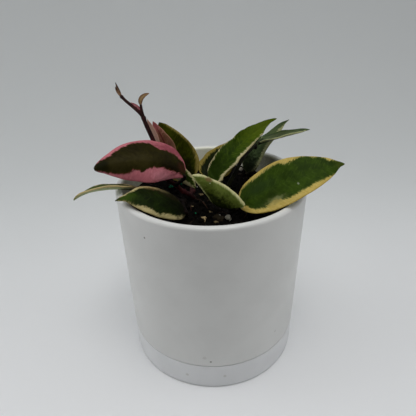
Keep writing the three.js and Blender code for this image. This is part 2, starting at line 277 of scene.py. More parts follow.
def makeVeinGroup():
    inputs = {"Place": (0, 0, 0), "Spacing": veinShape["spacing"], "Seed": 0}
    tree, given, result = newGroup(
        "leafVeins", inputs, "Vein", "Rib", "Mottle", "Streak", "Fleck", "Relief",
    )
    spot = split(tree, given["Place"])
    off = calc(tree, "ABSOLUTE", spot["Y"])
    seeded = combine(tree, spot["X"], spot["Y"], given["Seed"])
    waver = noiseAt(tree, seeded, veinShape["wobbleCells"])
    wobble = calc(tree, "MULTIPLY_ADD", waver, veinShape["wobble"], spot["X"])
    slanted = calc(tree, "MULTIPLY_ADD", off, -veinShape["slant"], wobble)
    line = calc(tree, "DIVIDE", slanted, given["Spacing"])
    ridge = calc(tree, "ABSOLUTE", calc(tree, "SINE", times(tree, line, math.pi)))
    vein = times(tree, fade(tree, ridge, veinShape["width"], 0.0), fade(tree, off, *veinShape["fadeOut"]))
    rib = fade(tree, off, *veinShape["rib"])
    drawnOut = calc(tree, "MULTIPLY_ADD", off, -veinShape["slant"], spot["X"])
    streaked = combine(tree, drawnOut, times(tree, spot["Y"], veinShape["streakAcross"]), given["Seed"])
    streak = noiseAt(tree, streaked, veinShape["streakCells"], 3.0, 0.6)
    cells = noiseAt(tree, seeded, veinShape["reliefCells"], 3.0, 0.6)
    mottle = noiseAt(tree, seeded, veinShape["mottleCells"], 4.0, 0.6)
    fleck = noiseAt(tree, seeded, veinShape["fleckCells"], 4.0, 0.7)
    raised = calc(tree, "MULTIPLY_ADD", streak, veinShape["streakRelief"], cells)
    dip = calc(tree, "ADD", times(tree, vein, veinShape["veinDip"]), times(tree, rib, veinShape["ribDip"]))
    setSockets(tree, result, {
        "Vein": vein, "Rib": rib, "Streak": streak,
        "Mottle": fade(tree, mottle, *veinShape["mottle"]),
        "Fleck": fade(tree, fleck, *veinShape["fleck"]),
        "Relief": calc(tree, "SUBTRACT", raised, dip),
    })
    return tree


# A soft patch on a blade at one place: a real mark such as a scar or a paler area, and on some leaves
# painted shade and painted light

patchEdge = {"cells": 0.5, "torn": 1.1}  # cells of noise a mm, and how far they tear it, in radii


def makePatchGroup():
    inputs = {"Place": (0, 0, 0), "At": (0, 0, 0), "Size": (1, 1, 1), "Soft": 0.5}
    tree, given, result = newGroup("bladePatch", inputs, "Patch")
    flat = vectorCalc(tree, "MULTIPLY", given["Place"], (1, 1, 0))
    away = vectorCalc(tree, "DIVIDE", vectorCalc(tree, "SUBTRACT", flat, given["At"]), given["Size"])
    cells = noiseAt(tree, flat, patchEdge["cells"], 3.0, 0.6)
    torn = times(tree, calc(tree, "SUBTRACT", cells, 0.5), patchEdge["torn"])
    reach = calc(tree, "ADD", vectorCalc(tree, "LENGTH", away), torn)
    inner = calc(tree, "SUBTRACT", 1.0, given["Soft"])
    setSockets(tree, result, {"Patch": fade(tree, reach, 1.0, inner)})
    return tree


# Mottling at two scales in the object's own space

def makeGrainGroup():
    inputs = {"Vector": (0, 0, 0), "Coarse": 80, "Fine": 900}
    tree, given, result = newGroup("grain", inputs, "Cloud", "Speck")
    clouds = noiseAt(tree, given["Vector"], given["Coarse"], 3.0, 0.55)
    setSockets(tree, result, {
        "Cloud": fade(tree, clouds, 0.35, 0.65),
        "Speck": noiseAt(tree, given["Vector"], given["Fine"], 2.0, 0.6),
    })
    return tree


marginGroup = makeMarginGroup()
veinGroup = makeVeinGroup()
patchGroup = makePatchGroup()
grainGroup = makeGrainGroup()


# Pot and saucer

pot = {
    "height": 132, "rimRadius": 63.45, "footRadius": 60.5, "wall": 5, "sides": 192,
    "seam": 21, "seamGap": 0.5, "drain": 6, "bottom": 3.8, "innerFoot": 57.18,
    "wellRadius": 52.18, "floorTop": 8.8, "innerFloorRadius": 56.1, "innerFloor": 26.5,
    "lipRounding": 2.42, "shoulderRounding": 0.5, "footRounding": 1,
    "glaze": (226, 226, 223), "shade": (222, 222, 219), "roughness": 0.42,
    "inside": (252, 252, 232), "insideFrom": 60.1, "insideTo": 58.8,  # inside is painted light: the inner wall lighter and yellower; the radii in mm from the middle
    "paintedSideShade": (112, 110, 94),  # painted shade on the sides of its inner wall
    "wearAndShadeSpeckle": (0.3, 0.6, 0.6, 0.75),  # two levels of noise, and how much painted shade there is at each
    "unshadedAt": -3, "unshadedTo": 16, "shadedFrom": 44,  # mm across, with no painted shade in the middle
}
saucer = {
    "rounding": 2, "lipRounding": 0.4, "wall": 3.5, "floor": 3.5, "height": 21,
    "glaze": (230, 231, 232), "shade": (226, 227, 228), "roughness": 0.42,
}
glazeFinish = {
    "smoothing": 40,  # degrees above which an edge stays sharp
    "specular": 0.45, "coat": 0.35, "coatRoughness": 0.22, "coarse": 34, "fine": 620, "uneven": 0.03,
    "relief": 0.05, "cloudRelief": 2.0,
    "markTorn": 0.9, "markEdge": (1.45, 0.95),  # how noise tears a mark, and where it fades in, in radii
}
glazeMarks = [  # place and radius in mm, colour: specks of soil and faint smears left on the glaze
    ((-40.1, -48.8, 117.8), 0.8, (122, 118, 108)),
    ((-2.8, -61.0, 26.0), 1.0, (150, 146, 138)),
    ((-7.0, -60.8, 29.6), 1.7, (211, 210, 206)),
    ((-19.1, -57.6, 10.3), 1.5, (210, 210, 207)),
    ((6.7, -60.4, 11.2), 1.5, (208, 208, 205)),
    ((41.7, -44.9, 36.6), 1.2, (208, 207, 204)),
    ((-44, 43, 74), 0.8, (120, 114, 104)),
    ((30, 53.5, 40), 1.5, (204, 203, 200)),
]


def outerRadius(z):
    return pot["footRadius"] + (pot["rimRadius"] - pot["footRadius"]) * z / pot["height"]


def selectWhere(piece, kind, wanted):  # in edit mode; kind is verts or edges
    mesh = bmesh.from_edit_mesh(piece.data)
    for part in (*mesh.verts, *mesh.edges, *mesh.faces):
        part.select_set(False)
    for part in getattr(mesh, kind):
        if wanted(part):
            part.select_set(True)
    mesh.select_flush(True)
    bmesh.update_edit_mesh(piece.data)


def selectRing(piece, radius, height):  # a ring that closes a face takes the face too
    slack = 0.02 * mm

    def onRing(vertex):
        away = math.hypot(vertex.co.x, vertex.co.y)
        return abs(away - radius * mm) < slack and abs(vertex.co.z - height * mm) < slack

    selectWhere(piece, "verts", onRing)


def drawOn(extrude, start, rings):  # extrudes what is selected from ring to ring: radius and height
    radius, height = start
    for newRadius, newHeight in rings:
        extrude(TRANSFORM_OT_translate={"value": (0, 0, (newHeight - height) * mm)})
        scale = newRadius / radius
        bpy.ops.transform.resize(value=(scale, scale, 1))
        radius, height = newRadius, newHeight


def bevelRing(piece, radius, height, offset, segments):
    selectRing(piece, radius, height)
    bpy.ops.mesh.bevel(offset=offset * mm, segments=segments, affect="EDGES")


def makeGlaze(name, look):
    material, tree, shader = newMaterial(name)
    here, grain = grainHere(tree, glazeFinish)
    colour = mixColours(tree, grain["Cloud"], look["glaze"], look["shade"])
    for place, size, tone in glazeMarks:
        away = vectorCalc(tree, "SUBTRACT", here, Vector(place) * mm)
        reach = calc(tree, "DIVIDE", vectorCalc(tree, "LENGTH", away), size * mm)
        torn = calc(tree, "MULTIPLY_ADD", grain["Speck"], glazeFinish["markTorn"], reach)
        colour = mixColours(tree, fade(tree, torn, *glazeFinish["markEdge"]), colour, tone)
    if "paintedSideShade" in look:
        away = vectorCalc(tree, "LENGTH", vectorCalc(tree, "MULTIPLY", here, (1, 1, 0)))
        inside = fade(tree, away, look["insideFrom"] * mm, look["insideTo"] * mm)
        # painted light: the whole inner wall lighter and yellower
        colour = mixColours(tree, inside, colour, look["inside"])
        # painted shade: darker on the sides of the inner wall, none in the middle of the back, broken into
        # specks
        off = calc(tree, "ABSOLUTE", calc(tree, "SUBTRACT", split(tree, here)["X"], look["unshadedAt"] * mm))
        sideShade = times(tree, inside, fade(tree, off, look["unshadedTo"] * mm, look["shadedFrom"] * mm))
        wearAndShadeSpeckle = fade(tree, grain["Speck"], *look["wearAndShadeSpeckle"])
        colour = tint(tree, colour, sideShade, wearAndShadeSpeckle, look["paintedSideShade"])
    rough, uneven = look["roughness"], glazeFinish["uneven"]
    wave = calc(tree, "MULTIPLY_ADD", grain["Cloud"], glazeFinish["cloudRelief"], grain["Speck"])
    setSockets(tree, shader, {
        "Base Color": colour,
        "Roughness": fade(tree, grain["Cloud"], 0.0, 1.0, rough - uneven, rough + uneven),
        "Specular IOR Level": glazeFinish["specular"],
        "Coat Weight": glazeFinish["coat"], "Coat Roughness": glazeFinish["coatRoughness"],
        "Normal": bump(tree, wave, glazeFinish["relief"], 0.5),
    })
    return material


def startGlazed(low, high, bottom, top):  # an upright cylinder, as wide at its top as the outside line
    body = added(
        bpy.ops.mesh.primitive_cylinder_add, vertices=pot["sides"], radius=low * mm,
        depth=(top - bottom) * mm, location=(0, 0, (top + bottom) / 2 * mm), end_fill_type="NGON",
    )
    openForEdit(body)
    selectRing(body, low, top)
    bpy.ops.transform.resize(value=(high / low, high / low, 1))
    return body


def finishGlazed(body, name, glaze, look, node):
    turnOutward()
    smooth(body, glazeFinish["smoothing"])
    giveMaterials(body, makeGlaze(glaze, look))
    finishPiece(body, name, "white_glaze", node)


def makePot():
    shoulder = pot["seam"] + pot["seamGap"]
    low, rim, top = outerRadius(shoulder), pot["rimRadius"], pot["height"]
    meeting = pot["bottom"] + 0.5  # where the inner and the outer skin meet in the drain hole
    body = startGlazed(low, rim, shoulder, top)
    drawOn(bpy.ops.mesh.extrude_region_move, (rim, top), [
        (rim - pot["wall"], top),
        (pot["innerFloorRadius"], pot["innerFloor"]),
        (pot["wellRadius"], shoulder),
        (pot["wellRadius"], pot["floorTop"]),
        (pot["drain"], pot["floorTop"]),
        (pot["drain"], meeting),
    ])
    bpy.ops.mesh.delete(type="FACE")
    selectRing(body, low, shoulder)
    drawOn(bpy.ops.mesh.extrude_region_move, (low, shoulder), [
        (pot["innerFoot"], shoulder),
        (pot["innerFoot"], pot["bottom"]),
        (pot["drain"], pot["bottom"]),
        (pot["drain"], meeting),
    ])
    bpy.ops.mesh.delete(type="FACE")
    bpy.ops.mesh.select_all(action="SELECT")
    bpy.ops.mesh.remove_doubles(threshold=0.01 * mm)
    bevelRing(body, rim, top, pot["lipRounding"], 8)
    bevelRing(body, rim - pot["wall"], top, pot["lipRounding"], 8)
    bevelRing(body, low, shoulder, pot["shoulderRounding"], 3)
    bevelRing(body, pot["innerFoot"], pot["bottom"], pot["footRounding"], 2)
    finishGlazed(body, "glazedPot", "potGlaze", pot, "pot")


def makeSaucer():
    low, top = outerRadius(0), saucer["height"]
    high = outerRadius(top)
    inner = high - saucer["wall"]
    dish = startGlazed(low, high, 0, top)
    drawOn(bpy.ops.mesh.extrude_region_move, (high, top), [(inner, top), (inner, saucer["floor"])])
    bevelRing(dish, low, 0, saucer["rounding"], 6)
    bevelRing(dish, high, top, saucer["lipRounding"], 3)
    bevelRing(dish, inner, top, saucer["lipRounding"], 3)
    finishGlazed(dish, "saucerDish", "saucerGlaze", saucer, "saucer")


makePot()
makeSaucer()
print("pot and saucer done")


# Soil: a lumpy bed with crumbs, bark, perlite, feed and root fibres on it. Count and size, a radius
# in mm, are those of the bits that lie at random, and lift is how far they stand up as a share of it.
# Shown are the bits that the photo shows: x, y, radius and, for bark, turn in degrees and paleness.

soil = {
    "height": 115.5, "relief": 1.4, "sides": 168, "rings": 52, "gap": 0.3, "rimGap": 0.05, "sunk": 0.4,
    "lump": 0.9, "lumpSize": 3.1, "crumble": 0.35, "crumbleSize": 1.5, "rough": 0.5, "roughSize": 5,
    "rimEase": 1.5, "swell": (0.6, 0.4), "rimRise": 1.2,  # shares of the relief, broad and fine; mm
    "dark": (4, 3, 2), "light": (17, 13, 9), "coarse": 260, "fine": 1500,
}
loose = {  # what all bits that lie loose have in common; lean in radians, about x and y
    "reach": 55.5, "lean": (0.35, 0.3), "lumpiness": 1.7,
}
plainEarth = {"roughness": 0.9, "grain": 0.4, "specular": 0.08}
crumbs = {
    "count": 430, "size": (0.7, 2.1), "lift": 0.15, "seed": 11, "rough": 0.9, "smoothing": 50,
    "dark": (4, 3, 2), "light": (24, 18, 12), "coarse": 400, "fine": 2200,
}
bark = {
    "count": 36, "size": (1.6, 3.4), "lift": 0.12, "seed": 21, "paleness": 0.1, "smoothing": 35,
    "dark": (7, 5, 3), "light": (24, 16, 10), "coarse": 300, "fine": 1700,
    "beige": (176, 154, 112), "wearAndShadeSpeckle": (0.3, 0.6, 0.6, 1.0),  # levels of noise, and shares of beige
    "roughness": 0.8, "grain": 0.3, "shownLift": 0.2,
    "narrowest": 0.5, "wider": 0.12, "flat": 0.24,  # shares of the length, each kind wider than the last
    "rough": ((0.5, 0.9, 4.1), (0.25, 2.3, 9.7)),  # amount, scale, step of the seed
    "shown": [
        (-6.0, -25.2, 2.2, -28, 1.0), (2.6, -30.6, 1.5, -10, 0.4), (-12.9, -8.0, 1.3, -80, 0.75),
        (-6.8, 8.6, 1.2, 20, 0.4), (-1.1, -13.9, 1.1, 10, 0.55), (-25.3, 32.4, 1.8, 15, 0.6),
    ],
}
perlite = {
    "count": 7, "size": (0.6, 1.1), "lift": 0.3, "seed": 35, "rough": 0.55, "smoothing": 60,
    "dark": (140, 134, 118), "light": (206, 204, 192), "coarse": 500, "fine": 900, "roughness": 0.85,
    "shownLift": 0.35, "shown": [(10.2, -25.4, 2.2), (5.2, -21.8, 1.2), (24, 46, 1.6)],
}
granules = {
    "rough": 0.3, "smoothing": 70,
    "dark": (10, 92, 62), "light": (30, 130, 95), "coarse": 500, "fine": 1800, "roughness": 0.5,
    "shownLift": 0.45, "shown": [(-28.6, 19.9, 1.9), (-10.3, -18.8, 1.2), (-22, 24, 1.0)],
}
fibres = {
    "count": 34, "length": (5, 13), "radius": 0.28, "thick": (0.6, 1.3), "reach": 52, "edge": 55,
    "bend": 0.6, "lift": 0.2, "arch": 1.0, "archMore": 0.8, "taper": (1, 0.9, 0.6), "seed": 51,
    "dark": (34, 23, 18), "light": (70, 50, 38), "coarse": 300, "fine": 1500, "roughness": 0.8,
    "shown": [(-10.9, 2.0), (-6.2, -5.5), (-1.7, -12.6)], "shownThick": 1.9,
}


def soilTop(x, y):
    broad = math.sin(x * 0.16 + 1.3) * math.cos(y * 0.19 - 0.4)
    fine = math.sin(x * 0.53 + y * 0.31) * math.cos(y * 0.47 - x * 0.22 + 2)
    away = math.hypot(x, y) / (pot["rimRadius"] - pot["wall"])
    broadShare, fineShare = soil["swell"]
    swell = soil["relief"] * (broadShare * broad + fineShare * fine)
    return soil["height"] + swell + soil["rimRise"] * away ** 4


def innerRadius(z):
    top = pot["height"] - pot["wall"] / 2
    share = (z - pot["innerFloor"]) / (top - pot["innerFloor"])
    low = pot["innerFloorRadius"]
    return low + (pot["rimRadius"] - pot["wall"] - low) * share


def makeEarth(name, look):
    look = {**plainEarth, **look}
    material, tree, shader = newMaterial(name)
    _, grain = grainHere(tree, look)
    colour = tint(tree, look["dark"], grain["Cloud"], grain["Speck"], look["light"])
    if "beige" in look:
        paleness = addNode(tree, "Attribute", attribute_name="paleness").outputs["Fac"]
        wearAndShadeSpeckle = fade(tree, grain["Speck"], *look["wearAndShadeSpeckle"])
        colour = tint(tree, colour, paleness, wearAndShadeSpeckle, look["beige"])
    setSockets(tree, shader, {
        "Base Color": colour, "Roughness": look["roughness"], "Specular IOR Level": look["specular"],
        "Normal": bump(tree, grain["Speck"], look["grain"], 0.8),
    })
    return material


def makeSoilBed():
    level = soil["height"] + 1
    edge = innerRadius(level) - soil["rimGap"]
    bed = added(
        bpy.ops.mesh.primitive_circle_add, vertices=soil["sides"], radius=edge * mm,
        location=(0, 0, level * mm), fill_type="NOTHING",
    )
    openForEdit(bed)
    bpy.ops.mesh.select_all(action="SELECT")
    rings = [(edge * (1 - ring / soil["rings"]), level) for ring in range(1, soil["rings"])]
    drawOn(bpy.ops.mesh.extrude_edges_move, (edge, level), rings)
    bpy.ops.mesh.merge(type="CENTER")
    bpy.ops.mesh.select_all(action="SELECT")
    bpy.ops.mesh.subdivide(number_cuts=1)
    selectWhere(bed, "edges", lambda line: line.is_boundary)
    waist, well = pot["innerFloorRadius"] - soil["gap"], pot["wellRadius"] - soil["gap"]
    drawOn(bpy.ops.mesh.extrude_edges_move, (edge, level), [
        (waist, pot["innerFloor"]), (well, pot["seam"]), (well, pot["floorTop"] + soil["gap"]),
    ])
    bpy.ops.mesh.edge_face_add()
    turnOutward()
    bpy.ops.object.mode_set(mode="OBJECT")
    for vertex in bed.data.vertices:
        if vertex.co.z < soil["height"] * mm:
            continue
        x, y = vertex.co.x / mm, vertex.co.y / mm
        lumps = noise.voronoi(Vector((x / soil["lumpSize"], y / soil["lumpSize"], 1.7)))[0]
        crumbles = noise.voronoi(Vector((x / soil["crumbleSize"], y / soil["crumbleSize"], 8.2)))[0]
        rise = soil["lump"] * (0.55 - lumps[0]) * 2 + soil["crumble"] * (0.5 - crumbles[0]) * 2
        spot = Vector((x / soil["roughSize"], y / soil["roughSize"], 3.3))
        rise += soil["rough"] * noise.fractal(spot, 0.8, 2.1, 4)
        rim = min(1.0, max(0.0, (edge - math.hypot(x, y)) / soil["rimEase"]))
        vertex.co.z = (soilTop(x, y) - soil["sunk"] + rise * (0.4 + 0.6 * rim)) * mm
    smooth(bed)
    giveMaterials(bed, makeEarth("soilBedMix", soil))
    finishPiece(bed, "soilBed", "potting_mix", "soil")


def roughen(piece, amount, scale, seed):  # moves each vertex in or out by noise, in the piece's own size
    for vertex in piece.data.vertices:
        shift = noise.noise(vertex.co * scale + Vector((seed, seed * 0.7, 3.1)))
        vertex.co *= 1 + amount * shift


def makeLumps(count, seed, amount):  # a few irregular lumps to copy from
    lumps = []
    for k in range(count):
        lump = added(bpy.ops.mesh.primitive_ico_sphere_add, subdivisions=2, radius=1)
        roughen(lump, amount, loose["lumpiness"], seed + 5.3 * k)
        lumps.append(lump)
    return lumps


def makeChips(count, seed):
    chips = []
    for k in range(count):
        chip = added(bpy.ops.mesh.primitive_cube_add, size=2)
        openForEdit(chip)
        bpy.ops.mesh.select_all(action="SELECT")
        bpy.ops.mesh.subdivide(number_cuts=2)
        bpy.ops.object.mode_set(mode="OBJECT")
        for amount, scale, step in bark["rough"]:
            roughen(chip, amount, scale, seed + step * k)
        for vertex in chip.data.vertices:
            vertex.co.y *= bark["narrowest"] + bark["wider"] * k
            vertex.co.z *= bark["flat"]
        chips.append(chip)
    return chips


def scatter(shapes, places, seed):  # places: x, y, size, turn or None, lift as a share of size, paleness
    draw = random.Random(seed)
    leanX, leanY = loose["lean"]
    made = []
    for x, y, size, turn, lift, paleness in places:
        copy = copyOf(draw.choice(shapes))
        lean = Matrix.Rotation(draw.uniform(-leanX, leanX), 4, "X")
        lean = lean @ Matrix.Rotation(draw.uniform(-leanY, leanY), 4, "Y")
        spin = draw.uniform(0, 2 * math.pi)
        spin = spin if turn is None else math.radians(turn)
        spot = Matrix.Translation(Vector((x, y, soilTop(x, y) + lift * size)) * mm)
        copy.data.transform(spot @ Matrix.Rotation(spin, 4, "Z") @ lean @ Matrix.Scale(size * mm, 4))
        values = copy.data.attributes.new("paleness", "FLOAT", "POINT")
        values.data.foreach_set("value", [paleness] * len(copy.data.vertices))
        made.append(copy)
    whole = joinInto(made[0], made[1:])
    for shape in shapes:
        bpy.data.objects.remove(shape)
    return whole


def loosePlaces(plan):
    draw = random.Random(plan["seed"])
    low, high = plan["size"]
    places = []
    for _ in range(plan["count"]):
        angle = draw.uniform(0, 2 * math.pi)
        away = loose["reach"] * math.sqrt(draw.random())
        size = low + (high - low) * draw.random() ** 2
        pale = plan.get("paleness", 0) * draw.random() ** 3
        places.append((away * math.cos(angle), away * math.sin(angle), size, None, plan["lift"], pale))
    return places


def shownPlace(plan, x, y, size, turn=None, paleness=0):
    return x, y, size, turn, plan["shownLift"], paleness


def makeLoose(name, earth, plan, shapes, seed):
    places = loosePlaces(plan) if "count" in plan else []
    places += [shownPlace(plan, *spot) for spot in plan.get("shown", [])]
    whole = scatter(shapes, places, seed)
    smooth(whole, plan["smoothing"])
    giveMaterials(whole, makeEarth(earth, plan))
    finishPiece(whole, name, "potting_mix")


def makeTube(points, radii, rounding=3, steps=8):  # points in mm, radii in mm
    deselectAll()
    bpy.ops.curve.primitive_bezier_curve_add(location=(0, 0, 0))
    curve = bpy.context.object
    spline = curve.data.splines[0]
    spline.bezier_points.add(len(points) - 2)
    for knot, point, radius in zip(spline.bezier_points, points, radii):
        knot.handle_left_type = knot.handle_right_type = "AUTO"
        knot.co = Vector(point) * mm
        knot.radius = radius
    curve.data.bevel_depth = mm
    curve.data.bevel_resolution = rounding
    curve.data.resolution_u = steps
    curve.data.use_fill_caps = True
    bpy.ops.object.convert(target="MESH")
    return bpy.context.object


def makeFibres():
    draw = random.Random(fibres["seed"])
    strands = []
    paths = [fibres["shown"]]
    for _ in range(fibres["count"]):
        angle, away = draw.uniform(0, 2 * math.pi), fibres["reach"] * math.sqrt(draw.random())
        turn, length = draw.uniform(0, math.pi), draw.uniform(*fibres["length"])
        x, y = away * math.cos(angle), away * math.sin(angle)
        bend = draw.uniform(-fibres["bend"], fibres["bend"])
        path = [(x, y)]
        for k in range(2):
            x += length / 2 * math.cos(turn + bend * k)
            y += length / 2 * math.sin(turn + bend * k)
            path.append((x, y))
        if max(math.hypot(*spot) for spot in path) < fibres["edge"]:
            paths.append(path)
    for k, path in enumerate(paths):
        thick = fibres["radius"] * (fibres["shownThick"] if k == 0 else draw.uniform(*fibres["thick"]))
        lift = [fibres["lift"], fibres["arch"] + draw.uniform(0, fibres["archMore"]), fibres["lift"]]
        points = [(x, y, soilTop(x, y) + up) for (x, y), up in zip(path, lift)]
        strands.append(makeTube(points, [thick * share for share in fibres["taper"]], 1, 5))
    mesh = joinInto(strands[0], strands[1:])
    smooth(mesh)
    giveMaterials(mesh, makeEarth("rootFibre", fibres))
    finishPiece(mesh, "rootFibres", "potting_mix")


makeSoilBed()
makeLoose("soilCrumbs", "crumbMix", crumbs, makeLumps(4, 2.0, crumbs["rough"]), 12)
makeLoose("barkChips", "barkFlakes", bark, makeChips(4, 1.0), 22)
makeLoose("perliteGrains", "perliteStone", perlite, makeLumps(4, 6.0, perlite["rough"]), 32)
makeLoose("feedGranules", "feedGranule", granules, makeLumps(2, 9.0, granules["rough"]), 42)
makeFibres()
print("soil done")


# Stems: each branch is a list of (x, y, z, radius) in mm, and each bead a thickened node

stems = {
    "shootStem": {
        "node": "stem_shoot", "slot": "red_stem", "look": "red",
        "branches": [
            [(-8, 5, 104, 1.6), (-10.5, 5, 112, 1.55), (-14, 4, 117.5, 1.5), (-19, 3.5, 121, 1.5),
             (-24, 2.5, 126.5, 1.35), (-29, 2, 131, 1.4), (-32, 3, 138, 1.45), (-33, 4, 146, 1.4),
             (-37.2, 5, 158.6, 1.4), (-40.6, 5, 168.4, 1.35), (-42.2, 5, 173.4, 1.2)],
            [(-41.2, 5, 171.5, 1.1), (-43.4, 4.6, 175.8, 1.1), (-46.3, 4, 179.3, 1.05),
             (-49.6, 3.4, 182.7, 0.95), (-52.2, 2.8, 185.5, 0.9), (-53.9, 2.4, 187.8, 0.9)],
            [(-41.6, 5, 172, 1.0), (-42.5, 5, 177, 0.85), (-42.9, 5, 181.8, 0.75)],
            [(-14, 4.2, 117.5, 1.3), (-12.2, 6, 119.6, 1.15), (-11.4, 7, 120.8, 1.0)],
        ],
        "beads": [((-19, 3.5, 121), 1.9), ((-31, 2.5, 135), 1.85), ((-33.2, 4, 146), 1.6),
                  ((-41.9, 5, 173), 1.55), ((-46.4, 3.9, 179.6), 1.15), ((-53.7, 2.5, 187.4), 1.15)],
    },
    "centreStem": {
        "node": "stem_centre", "slot": "green_stem", "look": "green",
        "branches": [
            [(7, 6, 100, 1.7), (6.5, 6, 112, 1.65), (6, 6, 119, 1.4)],
            [(6.3, 6, 114, 1.4), (10, 8, 119.5, 1.4), (16, 13, 127.5, 1.4), (22, 20, 136.2, 1.35),
             (27.5, 26, 140.5, 1.25), (33.5, 31, 143.6, 1.0)],
        ],
        "beads": [((6, 6, 118.5), 2.1), ((32.6, 30, 142), 1.5)],
    },
    "backStem": {
        "node": "stem_back", "slot": "green_stem", "look": "green",
        "branches": [[(27, 37, 100, 1.4), (28, 37, 112, 1.4), (29, 36.5, 118.5, 1.2)]],
        "beads": [((29, 36.5, 118), 1.7)],
    },
    "rightStem": {
        "node": "stem_right", "slot": "green_stem", "look": "green",
        "branches": [[(13, -14, 100, 1.5), (14, -15, 112, 1.5), (14.5, -16, 120, 1.25)]],
        "beads": [((14.5, -16, 119), 1.8)],
    },
    "leftStem": {
        "node": "stem_left", "slot": "red_stem", "look": "dark",
        "branches": [[(-18, -4, 100, 1.4), (-19, -5, 112, 1.4), (-20, -6, 119.5, 1.15)]],
        "beads": [((-20, -6, 118.5), 1.75)],
    },
}
stemLooks = {
    # foot is painted light: a lighter red on the shoot's low bend, which lies in shade under the large leaf
    "red": {"dark": (34, 15, 15), "light": (80, 36, 37), "tip": (58, 42, 38), "foot": (92, 40, 42)},
    "dark": {"dark": (8, 5, 4), "light": (28, 15, 12), "tip": (34, 24, 20)},
    "green": {"dark": (14, 14, 5), "light": (40, 40, 16), "tip": (60, 62, 30)},
}
stemGrain = {
    "voxel": 0.25, "smoothing": 4, "swell": 1.08, "roughness": 0.55, "specular": 0.12,
    "coarse": 320, "fine": 1700, "drawnOut": 0.25, "relief": 0.12, "lightShare": 0.75,
    "flecks": (0.62, 0.72, 0.0, 0.35),  # from which level of noise to which, and their share at each
    "tipFrom": 165, "tipTo": 192, "tipShare": 0.55,  # mm above the floor, where the tip's tone fades in
    "footFrom": 134, "footTo": 124, "footShare": 0.8,  # the same for a painted pool of light, a lighter red on the low bend of the shoot
    "litBendFrom": -14, "litBendTo": -18,  # mm across, where that painted light begins
}


def makeStemMaterial(name, look):
    part = stemGrain
    material, tree, shader = newMaterial(name)
    here = addNode(tree, "TexCoord").outputs["Object"]
    along = addNode(tree, "Mapping", {"Vector": here, "Scale": (1, 1, part["drawnOut"])}).outputs[0]
    grain = useGroup(tree, grainGroup, {"Vector": along, "Coarse": part["coarse"], "Fine": part["fine"]})
    colour = tint(tree, look["dark"], grain["Cloud"], part["lightShare"], look["light"])
    spot = split(tree, here)
    tip = fade(tree, spot["Z"], part["tipFrom"] * mm, part["tipTo"] * mm, 0.0, part["tipShare"])
    colour = mixColours(tree, tip, colour, look["tip"])
    colour = mixColours(tree, fade(tree, grain["Speck"], *part["flecks"]), colour, look["tip"])
    # painted light: a lighter red on the low bend of the shoot
    if "foot" in look:
        low = fade(tree, spot["Z"], part["footFrom"] * mm, part["footTo"] * mm, 0.0, part["footShare"])
        bend = fade(tree, spot["X"], part["litBendFrom"] * mm, part["litBendTo"] * mm)
        colour = tint(tree, colour, low, bend, look["foot"])
    setSockets(tree, shader, {
        "Base Color": colour, "Roughness": part["roughness"], "Specular IOR Level": part["specular"],
        "Normal": bump(tree, grain["Speck"], part["relief"], 0.7),
    })
    return material


stemMaterials = {name: makeStemMaterial(name + "Stem", look) for name, look in stemLooks.items()}


def makeStem(name, stem):
    parts = []
    for branch in stem["branches"]:
        radii = [spot[3] * stemGrain["swell"] for spot in branch]
        parts.append(makeTube([spot[:3] for spot in branch], radii, 4, 10))
    for place, radius in stem["beads"]:
        parts.append(added(
            bpy.ops.mesh.primitive_ico_sphere_add, subdivisions=3,
            radius=radius * stemGrain["swell"] * mm, location=Vector(place) * mm,
        ))
    whole = joinInto(parts[0], parts[1:])
    remesh = whole.modifiers.new("fuse", "REMESH")
    remesh.mode = "VOXEL"
    remesh.voxel_size = stemGrain["voxel"] * mm
    ease = whole.modifiers.new("ease", "SMOOTH")
    ease.iterations = stemGrain["smoothing"]
    ease.factor = 0.5
    applyModifiers(whole)
    smooth(whole)
    giveMaterials(whole, stemMaterials[stem["look"]])
    finishPiece(whole, name, stem["slot"], stem["node"])


for stemName, stemPlan in stems.items():
    makeStem(stemName, stemPlan)
print("stems done")


# Leaf looks. The heart has a dark, a middle and a light tone, the margin a pale and a deep one, and
# under gives the heart's and the margin's tone on the leaf's other side.

